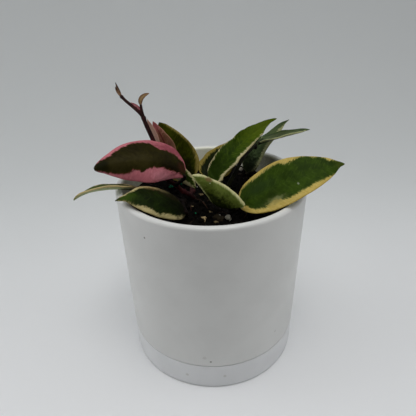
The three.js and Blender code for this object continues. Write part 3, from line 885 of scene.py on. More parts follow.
looks = {
    "pink": {
        "slot": "leaf_pink", "heart": ((28, 24, 2), (43, 39, 9), (62, 54, 22)),
        "margin": ((210, 130, 137), (178, 94, 106)), "half": (84, 54, 24), "vein": (66, 54, 24),
        "under": ((150, 92, 96), (120, 92, 66)), "ragged": 0.65, "blend": 0.5,
    },
    "rose": {
        "slot": "leaf_rose", "heart": ((126, 82, 62), (148, 104, 78), (182, 138, 112)),
        "margin": ((194, 142, 124), (172, 116, 100)), "half": (164, 116, 92), "vein": (104, 46, 46),
        "under": ((178, 134, 118), (158, 108, 98)), "ragged": 1.2, "blend": 0.6, "gloss": 0.55, "rib": 0.8,
        "veins": 0.2,
    },
    "beige": {
        "slot": "leaf_rose", "heart": ((222, 178, 158), (236, 196, 174), (242, 210, 190)),
        "margin": ((228, 188, 168), (216, 170, 152)), "half": (216, 172, 154), "vein": (140, 84, 76),
        "under": ((188, 146, 128), (170, 126, 112)), "ragged": 0.8, "blend": 0.6, "gloss": 0.55,
    },
    "olive": {
        "slot": "leaf_olive", "heart": ((38, 41, 2), (60, 67, 5), (92, 99, 24)),
        "margin": ((172, 156, 88), (128, 112, 46)), "half": (92, 88, 26), "vein": (74, 80, 26),
        "under": ((96, 102, 50), (150, 144, 88)), "ragged": 0.5, "blend": 1.3,
    },
    "oliveShade": {
        "slot": "leaf_olive", "heart": ((13, 19, 0), (24, 32, 0), (44, 52, 2)),
        "margin": ((156, 140, 72), (122, 104, 36)), "half": (74, 72, 6), "vein": (40, 46, 14),
        "under": ((60, 66, 30), (120, 110, 60)), "ragged": 0.7, "blend": 0.6,
    },
    "green": {
        "slot": "leaf_green", "heart": ((38, 58, 2), (61, 83, 10), (96, 118, 36)),
        "margin": ((204, 196, 156), (176, 164, 116)), "half": (104, 116, 54), "vein": (70, 92, 32),
        "under": ((96, 110, 60), (186, 182, 140)), "ragged": 0.7, "blend": 0.3,
    },
    "shaded": {
        "slot": "leaf_green", "heart": ((13, 22, 1), (26, 40, 4), (50, 66, 16)),
        "margin": ((198, 186, 138), (160, 144, 94)), "half": (88, 90, 46), "vein": (42, 58, 20),
        "under": ((84, 96, 54), (164, 156, 108)), "ragged": 0.7, "blend": 0.7,
    },
    "narrow": {
        "slot": "leaf_green", "heart": ((60, 72, 34), (84, 98, 50), (110, 124, 72)),
        "margin": ((222, 208, 162), (200, 180, 122)), "half": (120, 126, 76), "vein": (60, 74, 34),
        "under": ((160, 170, 126), (204, 190, 140)), "ragged": 0.6, "blend": 0.3,
    },
    "greyGreen": {
        "slot": "leaf_grey_green", "heart": ((48, 62, 38), (74, 92, 55), (112, 130, 88)),
        "margin": ((196, 196, 150), (160, 164, 112)), "half": (100, 114, 70), "vein": (34, 46, 24),
        "under": ((86, 100, 64), (150, 152, 112)), "ragged": 0.6, "blend": 0.4,
    },
    "golden": {
        "slot": "leaf_golden", "heart": ((37, 56, 5), (56, 78, 15), (92, 114, 46)),
        "margin": ((214, 192, 114), (184, 158, 70)), "half": (118, 124, 62), "vein": (64, 86, 34),
        "under": ((92, 106, 56), (188, 172, 104)), "ragged": 0.7, "blend": 0.5, "streaks": 0.22,
    },
    "underside": {
        "slot": "leaf_underside", "heart": ((62, 74, 18), (86, 98, 38), (116, 126, 66)),
        "margin": ((212, 208, 162), (180, 176, 120)), "half": (128, 136, 78), "vein": (88, 98, 44),
        "under": ((48, 64, 20), (180, 174, 120)), "ragged": 0.25, "blend": 1, "gloss": 0.55,
    },
    "young": {
        "slot": "young_growth", "heart": ((150, 124, 84), (182, 158, 112), (198, 178, 130)),
        "margin": ((170, 136, 100), (98, 60, 44)), "half": (160, 126, 88), "vein": (98, 66, 48),
        "under": ((150, 124, 86), (110, 80, 58)), "ragged": 0.3, "blend": 0.4, "gloss": 0.55,
    },
    "bud": {
        "slot": "young_growth", "heart": ((168, 134, 102), (196, 162, 126), (212, 182, 146)),
        "margin": ((70, 46, 38), (50, 34, 28)), "half": (120, 84, 62), "vein": (84, 56, 44),
        "under": ((110, 80, 60), (60, 42, 34)), "ragged": 0.5, "blend": 0.4, "gloss": 0.55,
    },
    "pinkYoung": {
        "slot": "leaf_rose", "heart": ((186, 112, 120), (200, 130, 134), (210, 148, 146)),
        "margin": ((176, 100, 108), (140, 72, 80)), "half": (184, 116, 120), "vein": (120, 56, 62),
        "under": ((170, 108, 112), (130, 76, 80)), "ragged": 0.5, "blend": 0.4, "gloss": 0.55,
    },
}
plainLook = {"gloss": 0.5, "streaks": 0.42, "veins": 0.12, "rib": 0.04}  # where a look says no more
leafFinish = {
    "specular": 0.045, "flecks": 0.4, "half": 0.85, "rimShare": 0.6, "rim": 0.7,  # rim in mm
    "smoother": 0.04, "rougher": 0.07, "relief": 0.16,
    "heartStreaks": (0.5, 0.74), "marginStreaks": (0.36, 0.66, 0.15, 0.6),  # levels, then shares
}


def addPatches(tree, place, colour, patches):
    for (along, across), (long, wide), soft, share, tone in patches:
        mask = useGroup(tree, patchGroup, {
            "Place": place, "At": (along, across, 0), "Size": (long, wide, 1), "Soft": soft,
        })["Patch"]
        colour = tint(tree, colour, mask, share, tone)
    return colour


def makeLeafMaterial(name, look, leaf, underside):
    material, tree, shader = newMaterial(name)
    place = addNode(tree, "Attribute", attribute_name="leafPlace").outputs["Vector"]
    gap = addNode(tree, "Attribute", attribute_name="edgeGap").outputs["Fac"]
    seed = leaf["seed"] * 13.7
    margin = useGroup(tree, marginGroup, {
        "Place": place, "Ragged": look["ragged"], "Blend": look["blend"], "Seed": seed,
    })
    veins = useGroup(tree, veinGroup, {"Place": place, "Spacing": veinShape["spacing"], "Seed": seed})
    dark, middle, light = look["heart"]
    pale, deep = look["margin"]
    patches = {"heart": leaf["patches"], "margin": leaf["marginPatches"], "whole": leaf["wholePatches"]}
    if underside:
        middle, pale = look["under"]
        dark, light = middle, middle
        patches = {"heart": [], "margin": [], "whole": []}
    heart = mixColours(tree, veins["Mottle"], dark, middle)
    heart = tint(tree, heart, veins["Fleck"], leafFinish["flecks"], dark)
    streaks = fade(tree, veins["Streak"], *leafFinish["heartStreaks"], 0.0, look["streaks"])
    heart = mixColours(tree, streaks, heart, light)
    heart = tint(tree, heart, veins["Vein"], look["veins"], look["vein"])
    heart = tint(tree, heart, veins["Rib"], look["rib"], look["vein"])
    heart = addPatches(tree, place, heart, patches["heart"])
    edge = mixColours(tree, fade(tree, veins["Streak"], *leafFinish["marginStreaks"]), pale, deep)
    edge = tint(tree, edge, veins["Fleck"], leafFinish["flecks"], deep)
    rim = fade(tree, gap, leafFinish["rim"], 0.0, 0.0, leafFinish["rimShare"])
    edge = addPatches(tree, place, mixColours(tree, rim, edge, deep), patches["margin"])
    colour = tint(tree, heart, margin["Half"], leafFinish["half"], look["half"])
    colour = mixColours(tree, margin["Pale"], colour, edge)
    colour = addPatches(tree, place, colour, patches["whole"])
    smoothest, roughest = look["gloss"] - leafFinish["smoother"], look["gloss"] + leafFinish["rougher"]
    setSockets(tree, shader, {
        "Base Color": colour, "Roughness": fade(tree, veins["Mottle"], 0.0, 1.0, smoothest, roughest),
        "Specular IOR Level": leafFinish["specular"],
        "Normal": bump(tree, veins["Relief"], leafFinish["relief"], 0.8),
    })
    return material


# Leaves: sizes in mm, angles in degrees. The rib runs from base by middle to tip, and face is the
# way the upper side looks. Above and below are the two sides of the rib: how far the dark heart
# reaches there, and with bulge how much the outline stands out or in, as {percent of the length: mm}.
# Fold is how steeply the sides rise from the rib, and the more root or point, the slimmer that end.
# A patch is ((mm along the rib, mm across it), (mm that it reaches each way), softness, share, colour),
# and lies on the heart, on the margin or on the whole blade.

# Some patches below are painted shade and some are painted light; each is marked where it stands.
leaves = {
    "largePinkLeaf": {
        "node": "leaf_pink_large", "look": "pink", "stalkLook": "dark", "seed": 1,
        "base": (-17, -9, 138), "middle": (-38.5, -14, 152.5), "tip": (-71.6, -20, 149.4),
        "face": (-0.1, -0.7, 0.7), "twist": -25, "width": 32, "fold": -0.4, "root": 0.75, "point": 0.72,
        "wave": 0.8,
        "above": {0: 0.2, 4: 0.4, 9: 1.1, 14: 2.1, 20: 2.8, 25: 3, 31: 3.4, 37: 4.1, 42: 4.9, 48: 5.4,
            52: 6.6, 54: 8, 57: 8.5, 60: 6.8, 67: 6.6, 71: 8, 75: 8.3, 79: 7.7, 84: 6.8, 90: 5.3, 93: 3.9,
            96: 2.4, 100: 1.5},
        "below": {0: 2.5, 5: 5.8, 8: 7.8, 11: 8.4, 14: 8.2, 16: 9.2, 19: 10, 22: 10.5, 27: 10.4, 29: 11,
            33: 11, 38: 9.8, 42: 11.3, 46: 13.7, 50: 14.3, 55: 14.1, 62: 13.7, 67: 13.1, 71: 11.5, 75: 10.8,
            77: 9.8, 81: 8.2, 86: 5.7, 93: 4.4, 96: 2.9, 100: 2},
        "bulgeAbove": {0: 0, 6: -0.8, 12: -1.5, 27: -1.9, 32: -1.1, 48: -1.3, 68: -1.5, 79: -0.9, 87: -1.2,
            93: -1.4, 100: 0},
        "bulgeBelow": {0: 0, 4: 2.8, 8: 3.4, 14: 3.6, 18: 4.4, 23: 4.8, 28: 4.5, 33: 4.1, 43: 2.9, 48: 2.3,
            55: 1.3, 61: 0.6, 74: 0.5, 81: 0.1, 87: -0.4, 100: 0},
        "patches": [
            ((35, 1), (13, 9), 0.9, 0.6, (60, 54, 22)), ((48, 1), (12, 8), 0.9, 0.5, (62, 56, 28)),
            ((12, 1), (16, 8), 0.9, 0.85, (19, 13, 1)), ((5, -3.5), (6, 5), 0.8, 0.7, (58, 26, 16)),
        ],
        "marginPatches": [
            # painted shade: darker rose on the margin where the blade bends down
            ((15, -13), (24, 8), 0.9, 0.85, (126, 58, 68)),
            # painted light: a lighter pink on the lower margin near the base
            ((15, 8.5), (19, 5.5), 0.8, 0.7, (236, 154, 166)),
        ],
        "wholePatches": [((57, 0), (5, 6), 0.8, 0.85, (20, 22, 4))],
        "stalk": [(-19.2, -5, 133.5), (-22, -0.5, 129.5), (-24, 2, 126.8)],
    },
    "narrowPinkLeaf": {
        "node": "leaf_pink_narrow", "look": "rose", "stalkLook": "red", "seed": 2,
        "base": (-26, 8, 138), "middle": (-30.2, 9.8, 154.5), "tip": (-37, 10.5, 169),
        "face": (-0.3, -0.9, 0.4), "width": 14, "fold": 0.2, "root": 0.6, "point": 0.9, "wave": 0.4,
        "rows": 44, "columns": 16,
        "above": {0: 1, 30: 3.5, 50: 4, 80: 2.2, 100: 1},
        "below": {0: 1, 30: 3.5, 50: 3.6, 80: 2, 100: 1},
        "bulgeBelow": {0: 0, 45: -0.3, 70: -1.5, 85: -1.2, 100: 0},
        "wholePatches": [
            ((17, -5), (24, 4.5), 0.8, 0.7, (128, 94, 64)), ((32, 0), (9, 5), 0.7, 0.6, (180, 96, 106)),
        ],
        "stalk": [(-27, 5.5, 134.5), (-29.5, 3, 132)],
    },
    "pinkSliverLeaf": {
        "node": "leaf_pink_sliver", "look": "beige", "stalkLook": "red", "seed": 3,
        "base": (-34, 7.5, 151), "middle": (-37, 7.8, 162.5), "tip": (-40.3, 7.8, 171.5),
        "face": (-0.2, -1, 0.3), "width": 4.9, "fold": 0.2, "root": 0.5, "point": 0.95, "wave": 0,
        "rows": 30, "columns": 10, "thick": 0.6, "stalkRadius": 0.6,
        "above": {0: 0.5, 50: 1.2, 100: 0.5},
        "below": {0: 0.5, 50: 1.2, 100: 0.5},
        "stalk": [(-33.5, 7, 148.5), (-32.5, 4.5, 146)],
    },
    "oliveLeaf": {
        "node": "leaf_olive_upright", "look": "olive", "stalkLook": "red", "seed": 4,
        "base": (-14.5, 11, 125.5), "middle": (-25, 17, 145), "tip": (-34, 21, 165),
        "face": (-0.1, -0.8, 0.5), "width": 27, "fold": 0.15, "root": 0.6, "point": 0.9, "wave": 0.6,
        "above": {0: 1.5, 8: 6, 15: 8.6, 30: 10.2, 50: 11, 65: 9.2, 80: 6, 100: 3},
        "below": {0: 2, 8: 6.8, 18: 9.6, 25: 11.2, 34: 12.3, 42: 12.6, 50: 12.4, 58: 11.2, 67: 9.9, 75: 8.1,
            83: 5.9, 91: 3.6, 100: 2},
        "bulgeBelow": {0: 0, 8: 1.6, 17: 1.3, 24: 1.1, 33: 0.8, 45: 0.4, 56: 0.3, 65: 0.3, 77: 0.3, 86: 0.3,
            94: 0.6, 100: 0},
        "patches": [
            ((8, -1), (15, 11), 0.9, 0.9, (14, 15, 0)), ((36, -2), (12, 6), 0.9, 0.6, (72, 80, 6)),
            ((22, 8), (22, 6.5), 0.8, 0.7, (92, 66, 38)),
        ],
        "stalk": [(-13.5, 8, 121), (-14, 4.5, 118)],
    },
    "hangingLeaf": {
        "node": "leaf_small_hanging", "look": "green", "stalkLook": "red", "seed": 5,
        "base": (-26, 2, 143), "middle": (-18.5, 0, 136.5), "tip": (-10.5, -1, 125.5),
        "face": (-0.2, -0.8, 0.6), "width": 13, "fold": -0.15, "root": 0.6, "point": 0.85, "wave": 0.3,
        "rows": 40, "columns": 16,
        "above": {0: 0.3, 20: 2.4, 40: 2.1, 60: 2.6, 80: 1.8, 100: 0.3},
        "below": {0: 0.5, 20: 4, 40: 4.8, 60: 3.2, 80: 1.2, 100: 0.1},
        "bulgeAbove": {0: 0, 10: -1.8, 35: -3.3, 50: -2.9, 65: -1.8, 80: -0.6, 100: 0},
        "patches": [((12, 0), (16, 9), 0.7, 0.6, (22, 32, 4))],
        "stalk": [(-29, 2.5, 141), (-31, 3, 137)],
    },
    "centreLeaf": {
        "node": "leaf_centre", "look": "green", "seed": 6,
        "base": (3.5, 0, 128), "middle": (17, 11, 148), "tip": (45.5, 22, 165.5),
        "face": (-0.45, -0.7, 0.55), "twist": 15, "width": 20, "fold": 0.3, "root": 0.55, "point": 0.8,
        "wave": 0.8, "waves": 3, "nicks": 2.2,
        "above": {0: 0.5, 4: 3.8, 8: 7.9, 16: 8.9, 22: 8.6, 28: 8, 36: 8.2, 44: 8.8, 51: 7.9, 58: 6.8,
            64: 7.4, 70: 7.4, 100: 4},
        "below": {0: 0.3, 6: 2.4, 13: 3, 19: 4.4, 28: 6.2, 37: 8.3, 46: 7.2, 55: 6.8, 65: 6.4, 75: 6.4,
            82: 5, 90: 2.4, 100: 1.5},
        "bulgeAbove": {0: 0, 4: 1.6, 9: 2.3, 14: 2.1, 19: 1.6, 25: 0.2, 28: -0.6, 36: -1.2, 45: -0.6,
            49: -1, 55: -1.9, 58: -2.3, 62: -1.6, 69: -1.2, 76: -0.9, 85: -0.7, 95: -0.4, 100: 0},
        "bulgeBelow": {0: 0, 6: 0.6, 12: -1.4, 20: -2.6, 26: -1.7, 33: 0, 37: 0.5, 45: -0.6, 58: -1,
            68: -0.6, 75: -0.6, 81: -0.3, 87: -2.2, 93: -2.2, 100: 0},
        "patches": [
            ((56, 0), (28, 15), 0.9, 0.62, (90, 106, 14)), ((12, 4), (22, 14), 0.8, 0.7, (24, 40, 4)),
        ],
        "stalk": [(4, 2, 122), (5, 5, 118.5)],
    },
    "centreBackLeaf": {
        "node": "leaf_centre_back", "look": "oliveShade", "seed": 7,
        "base": (-2, 12, 126), "middle": (6.5, 21, 135), "tip": (20, 30, 147),
        "face": (-0.2, -0.7, 0.7), "width": 24, "fold": 0.15, "root": 0.6, "point": 0.8, "wave": 0.6,
        "above": {0: 1.5, 10: 7.4, 21: 9, 34: 9, 43: 8.8, 54: 8.7, 62: 8, 80: 5.4, 100: 2},
        "below": {0: 1, 10: 6, 25: 9, 40: 10, 60: 9, 80: 6, 100: 2},
        "bulgeAbove": {0: 0, 7: 1.6, 16: 1.8, 25: 1.6, 32: 0.9, 38: 0, 47: -0.5, 54: -0.6, 63: -0.6,
            71: -0.5, 82: -0.5, 100: 0},
        "stalk": [(1, 9, 121.5), (5, 6.5, 118.8)],
    },
    "backUprightLeaf": {
        "node": "leaf_back_upright", "look": "greyGreen", "seed": 8,
        "base": (29.5, 34, 120), "middle": (35.6, 39, 138.3), "tip": (58, 42, 158),
        "face": (-0.45, -0.8, 0.35), "twist": 10, "width": 16.5, "fold": 0.15, "root": 0.6, "point": 1,
        "wave": 0.5, "rows": 60, "columns": 20,
        "above": {0: 1, 10: 5, 30: 8.5, 60: 8, 90: 4, 100: 2},
        "below": {0: 1, 10: 4, 30: 6.2, 45: 5.7, 55: 5, 70: 3.5, 85: 1.8, 100: 0.6},
        "bulgeAbove": {0: 0, 50: -1.5, 65: -3, 72: -3.2, 75: -2.8, 80: -2.1, 84: -1.4, 89: -0.4, 94: 0,
            100: 0},
        "bulgeBelow": {0: 0, 5: 1.8, 15: 0.8, 27: 0.2, 38: -0.3, 50: -0.5, 61: -0.4, 70: 0, 80: 0.4,
            88: 0.4, 94: -0.4, 100: 0},
        "patches": [
            # the first patch is painted shadow on one side of the heart
            ((20, 5), (18, 4), 0.9, 0.7, (30, 40, 18)), ((40, -1), (18, 12), 0.9, 0.7, (96, 112, 72)),
        ],
        # painted shade: the base darkens where it goes down into the pot
        "wholePatches": [((2, 0), (24, 15), 0.75, 0.92, (10, 15, 3))],
        "stalk": [(30.5, 35, 119), (29.5, 36, 118.2)],
    },
    "backFoldedLeaf": {
        "node": "leaf_back_folded", "look": "greyGreen", "seed": 9,
        "base": (36, 31.5, 145), "middle": (52, 29, 150.5), "tip": (70, 27.5, 155.3),
        "arch": (0.45, 0, 0, -0.3),
        "face": (-0.05, 0.08, 1), "width": 18, "fold": 0.3, "root": 0.45, "point": 1, "wave": 0.4,
        "rows": 60, "columns": 20,
        "above": {0: 2, 10: 9, 30: 10, 60: 9, 90: 5, 100: 2},
        "below": {0: 1, 10: 5, 30: 7.4, 50: 6, 70: 4, 100: 0.8},
        "bulgeAbove": {0: 0, 8: 1, 27: -1.2, 40: -1.2, 60: -0.3, 76: 0.7, 86: 0.8, 100: 0},
        "patches": [
            ((16, 1.4), (20, 0.5), 0.8, 0.35, (190, 196, 156)),
            ((17, -2), (22, 2), 0.9, 0.75, (38, 46, 20)), ((24, 4.5), (24, 1.2), 0.8, 0.5, (40, 52, 22)),
            ((14, 3.4), (15, 2.6), 0.9, 0.6, (126, 134, 94)), ((17, 3), (19, 5), 0.9, 0.7, (44, 56, 30)),
            ((22, 7.5), (20, 3), 0.8, 0.7, (48, 62, 18)),
        ],
        # painted shadow: dark at the base, where the blade folds
        "wholePatches": [((-1, 0), (7, 8), 0.9, 0.85, (16, 22, 8))],
        "stalk": [(34.5, 31.5, 144)],
    },
    "goldenLeaf": {
        "node": "leaf_right_golden", "look": "golden", "seed": 10,
        "base": (18, -22, 123.5), "middle": (45.5, -31, 144), "tip": (79.5, -26, 152),
        "face": (-0.1, -0.6, 0.8), "width": 31, "fold": 0.1, "root": 0.55, "point": 0.85, "wave": 0.8,
        "above": {0: 1, 3: 4.8, 6: 7.8, 9: 9, 14: 10.2, 18: 10.4, 22: 10.5, 27: 11.3, 34: 12.2, 41: 12.8,
            48: 12.5, 52: 11, 56: 10.6, 61: 11.6, 66: 12, 71: 11.8, 75: 10.8, 77: 9, 80: 9, 83: 8.4,
            86: 6.3, 88: 4.7, 91: 3.8, 100: 2},
        "below": {0: 1, 3: 1.8, 7: 3.6, 13: 7.8, 18: 9.6, 23: 10.9, 27: 10.4, 31: 9, 34: 8.2, 38: 9.2,
            43: 10.8, 47: 11.2, 52: 10.6, 57: 9.8, 61: 9.8, 65: 8.9, 70: 7.9, 78: 6.9, 84: 5.6, 88: 5.2,
            92: 4, 100: 2},
        "bulgeAbove": {0: 0, 3: 1.6, 8: 1, 15: 0.2, 28: -0.5, 40: -0.8, 51: -0.7, 60: 0, 69: 0.5, 80: 0.6,
            88: 0.3, 94: -0.5, 100: 0},
        "bulgeBelow": {0: 0, 4: -0.6, 10: -0.6, 16: -0.3, 30: -0.3, 38: -0.6, 50: -0.2, 70: -0.2, 80: -0.6,
            88: -0.8, 92: -1.3, 95: -1.5, 100: 0},
        "patches": [
            ((16, 4), (20, 6), 0.9, 0.5, (46, 66, 30)), ((22, -4), (14, 4), 0.9, 0.6, (32, 46, 2)),
            ((26, -8.5), (5.5, 2.4), 0.7, 0.8, (128, 136, 88)),
            ((41, -4.3), (0.7, 1), 0.6, 0.7, (150, 158, 132)),
        ],
        "wholePatches": [
            ((24.5, -9), (11, 4), 1, 0.55, (120, 122, 76)), ((71, 0), (8, 7), 0.9, 0.5, (84, 92, 30)),
        ],
        "stalk": [(16.5, -20, 121.5), (15.5, -17, 119.5)],
    },
    "paleFrontLeaf": {
        "node": "leaf_front_pale", "look": "underside", "seed": 11,
        "base": (19.6, -32.5, 128.2), "middle": (4.8, -27, 136.5), "tip": (-12, -18, 143),
        "face": (0.2, -0.8, 0.5), "twist": 15, "width": 14.5, "fold": -0.25, "root": 0.48, "point": 0.6,
        "wave": 0.4, "rows": 56, "columns": 20, "tucked": True,
        "above": {0: 0.5, 4: 2.4, 10: 6, 20: 9.5, 34: 11, 44: 10.8, 52: 9, 60: 7.3, 72: 5.1, 78: 3.9, 85: 3,
            93: 1.5, 100: 0.3},
        "below": {0: 0.2, 8: 0.8, 13: 1.6, 20: 2.2, 28: 2.8, 38: 3.4, 49: 3.6, 57: 3.5, 65: 3.4, 73: 2.9,
            81: 3, 86: 2.6, 91: 1.4, 95: 0.2, 100: 0},
        "bulgeAbove": {0: 0, 6: -1.4, 12: -1, 18: 0, 27: 1.1, 36: 1.6, 42: 1.9, 50: 1.6, 55: 1.1, 62: 0.1,
            71: -0.6, 78: -1.3, 91: -1.3, 100: 0},
        "bulgeBelow": {0: 0, 4: -1, 9: -1.9, 15: -2.1, 32: -2.2, 42: -1.9, 68: -1.7, 79: -0.8, 85: 0,
            94: 0.5, 100: 0},
        "patches": [
            # painted shade: the lower half of the blade darker
            ((15, 8.5), (27, 9.5), 0.75, 1, (18, 24, 0)),
            ((26.2, -0.9), (0.5, 0.6), 0.6, 0.4, (196, 192, 166)),
        ],
        "wholePatches": [((28.2, -2.8), (3.2, 2.2), 0.6, 0.9, (100, 80, 46))],
        "stalk": [(16, -27.5, 125.5), (11.5, -22, 121), (13, -18, 118)],
    },
    "leftNarrowLeaf": {
        "node": "leaf_left_narrow", "look": "narrow", "stalkLook": "dark", "seed": 12,
        "base": (-46.5, -10, 130), "middle": (-65, -20, 135.5), "tip": (-86.3, -23, 130),
        "arch": (0.8, 0, 0, 1.6),
        "face": (0, 0.3, 0.95), "width": 12.5, "fold": 0.4, "root": 0.5, "point": 0.7, "wave": 0.4,
        "rows": 56, "columns": 18,
        "above": {0: 0.5, 10: 2.6, 30: 4.4, 50: 4.7, 70: 3.9, 90: 2, 100: 1},
        "below": {0: 0.5, 10: 3, 30: 5, 50: 5.5, 70: 4.8, 90: 2.6, 100: 1},
        "stalk": [(-38, -7, 130.5), (-27, -5, 122.5), (-21, -6, 118.5)],
    },
    "frontLeftLeaf": {
        "node": "leaf_front_left", "look": "shaded", "stalkLook": "dark", "seed": 13,
        "base": (-16.5, -26, 121), "middle": (-37.5, -34.5, 137), "tip": (-57.7, -35, 135.3),
        "face": (0.1, -0.35, 0.9), "twist": 15, "width": 22, "fold": -0.18, "root": 0.6, "point": 1.15,
        "wave": 0.8,
        "above": {0: 2, 5: 3, 8: 5, 12: 6.6, 17: 6.6, 22: 6.9, 28: 8, 33: 9.4, 38: 9.8, 42: 9, 46: 8.2,
            55: 7.5, 60: 7, 66: 6.6, 71: 5.5, 77: 3.9, 83: 2.8, 88: 2, 100: 1},
        "below": {0: 3, 10: 8.5, 20: 9.5, 25: 8.2, 28: 7.7, 34: 8.7, 41: 9.5, 48: 9.1, 55: 8.2, 61: 7.4,
            67: 5.8, 71: 4.4, 77: 3.9, 81: 2.4, 85: 1.5, 100: 0.5},
        "bulgeAbove": {0: 0, 3: 1.6, 6: 1.2, 9: 0.8, 15: 0.1, 22: -0.3, 28: -0.2, 34: 0.3, 41: 0.9, 48: 1.2,
            55: 1.2, 61: 0.6, 69: -0.1, 77: -1.1, 83: -1.1, 88: -0.5, 94: 0.2, 100: 0},
        "bulgeBelow": {0: 0, 20: 0, 27: 0.5, 35: 0.9, 47: 0.8, 58: 0.6, 66: 1, 79: 0.9, 86: 1.5, 92: 1.3,
            100: 0},
        # the first patch is painted shadow: near black at the base of the heart
        "patches": [((6, -2), (17, 12), 0.95, 0.85, (7, 9, 1)), ((40, 0), (10, 6), 0.9, 0.7, (62, 84, 20))],
        "wholePatches": [
            # the first of these is painted shadow: near black over the base
            ((-3, 0), (11, 16), 0.6, 0.9, (8, 8, 2)), ((9, -8.5), (17, 6), 0.6, 0.85, (28, 24, 9)),
            ((28, -10), (15, 4), 0.6, 0.5, (136, 110, 72)),
        ],
        "stalk": [(-16, -21, 117.2), (-18, -12, 116.4), (-19.5, -7, 117.6)],
    },
    "budPair": {
        "node": "shoot_bud", "look": "bud", "seed": 14,
        "base": (-53.9, 2.4, 187.9), "middle": (-55.1, 2.1, 191.6), "tip": (-56.35, 2, 196.2),
        "face": (0, -1, 0.1), "width": 1.75, "fold": 0.2, "root": 0.45, "point": 0.75, "wave": 0,
        "rows": 18, "columns": 8, "thick": 0.9,
        "above": {0: 0.5, 50: 0.7, 80: 0.1, 100: 0},
        "below": {0: 0.5, 50: 0.7, 80: 0.1, 100: 0},
        "partner": {"base": (-54.1, 1.9, 188), "middle": (-55.7, 1.5, 190.9), "tip": (-56.6, 1.4, 193.8),
            "width": 1.5},
    },
    "youngLeaflet": {
        "node": "shoot_leaflet", "look": "young", "seed": 15,
        "base": (-42.9, 5, 181.6), "middle": (-41.7, 5, 186), "tip": (-37, 5, 188.5),
        "face": (-0.3, -0.9, 0.3), "width": 3.3, "fold": 0.3, "root": 0.4, "point": 0.7, "wave": 0,
        "rows": 26, "columns": 10, "thick": 0.8,
        "above": {0: 0.6, 50: 0.9, 100: 0.1},
        "below": {0: 0.6, 50: 1.1, 100: 0.1},
    },
    "youngPinkLeaf": {
        "node": "shoot_leaf_pink", "look": "pinkYoung", "seed": 16,
        "base": (-43.2, 5, 177.3), "middle": (-45.4, 4.4, 180.6), "tip": (-48.8, 4, 183.3),
        "face": (0.1, -0.9, 0.4), "width": 2.3, "fold": 0.2, "root": 0.5, "point": 0.8, "wave": 0,
        "rows": 18, "columns": 8, "thick": 0.6,
        "above": {0: 0.4, 50: 0.8, 100: 0.2},
        "below": {0: 0.4, 50: 0.8, 100: 0.2},
    },
}
blade = {  # what a leaf has where its own entry says nothing else
    "rows": 72, "columns": 26, "thickness": 1.5, "thick": 1, "edgeShare": 0.55, "stalkRadius": 1.15,
    "groove": 0.08, "grooveWidth": 0.9, "quilt": 0.12, "foldCurve": 1.4, "roll": 0.25, "rollCurve": 6,
    "uneven": 0.035, "unevenCells": 7, "nicks": 0, "nickCells": 26, "wavePhase": 1.7,
    "ends": 0.004, "leastHalf": 0.25, "slimmer": 0.01, "twist": 0, "waves": 2, "crowding": 1.25,
    "fullWave": 4, "fullGroove": 5, "fullQuilt": 6, "fullThick": 5,  # mm of half a width
    "stalkLook": "green", "tucked": False,
    "bulgeAbove": {0: 0, 100: 0}, "bulgeBelow": {0: 0, 100: 0},
    "patches": [], "marginPatches": [], "wholePatches": [],
}
stalkShape = {
    "keel": ((0.34, 0.22), (0.24, 0.4), (0.15, 0.56), (0.07, 0.66)),  # shares of the rib and of the radius
    "sunk": 0.35, "middle": 1.02, "foot": 1.25, "under": 0.2,  # three shares of the radius, and mm
}


def ribAt(leaf, t):  # the rib's point and direction at a share of its length
    base, middle, tip = Vector(leaf["base"]), Vector(leaf["middle"]), Vector(leaf["tip"])
    pull = middle * 2 - base / 2 - tip / 2
    point = base * (1 - t) ** 2 + pull * 2 * (1 - t) * t + tip * t ** 2
    along = (pull - base) * 2 * (1 - t) + (tip - pull) * 2 * t
    if "arch" in leaf:  # an extra bow: where it's greatest, and how far it moves there
        peak, *shift = leaf["arch"]
        power = math.log(0.5) / math.log(peak)
        phase = math.pi * max(t, 0.001) ** power
        point += Vector(shift) * math.sin(phase)
        along += Vector(shift) * math.cos(phase) * phase * power / max(t, 0.001)
    return point, along.normalized()


def halfWidth(leaf, t):
    widest = leaf["root"] / (leaf["root"] + leaf["point"])
    rise = (t / widest) ** leaf["root"]
    return leaf["width"] / 2 * rise * ((1 - t) / (1 - widest)) ** leaf["point"]


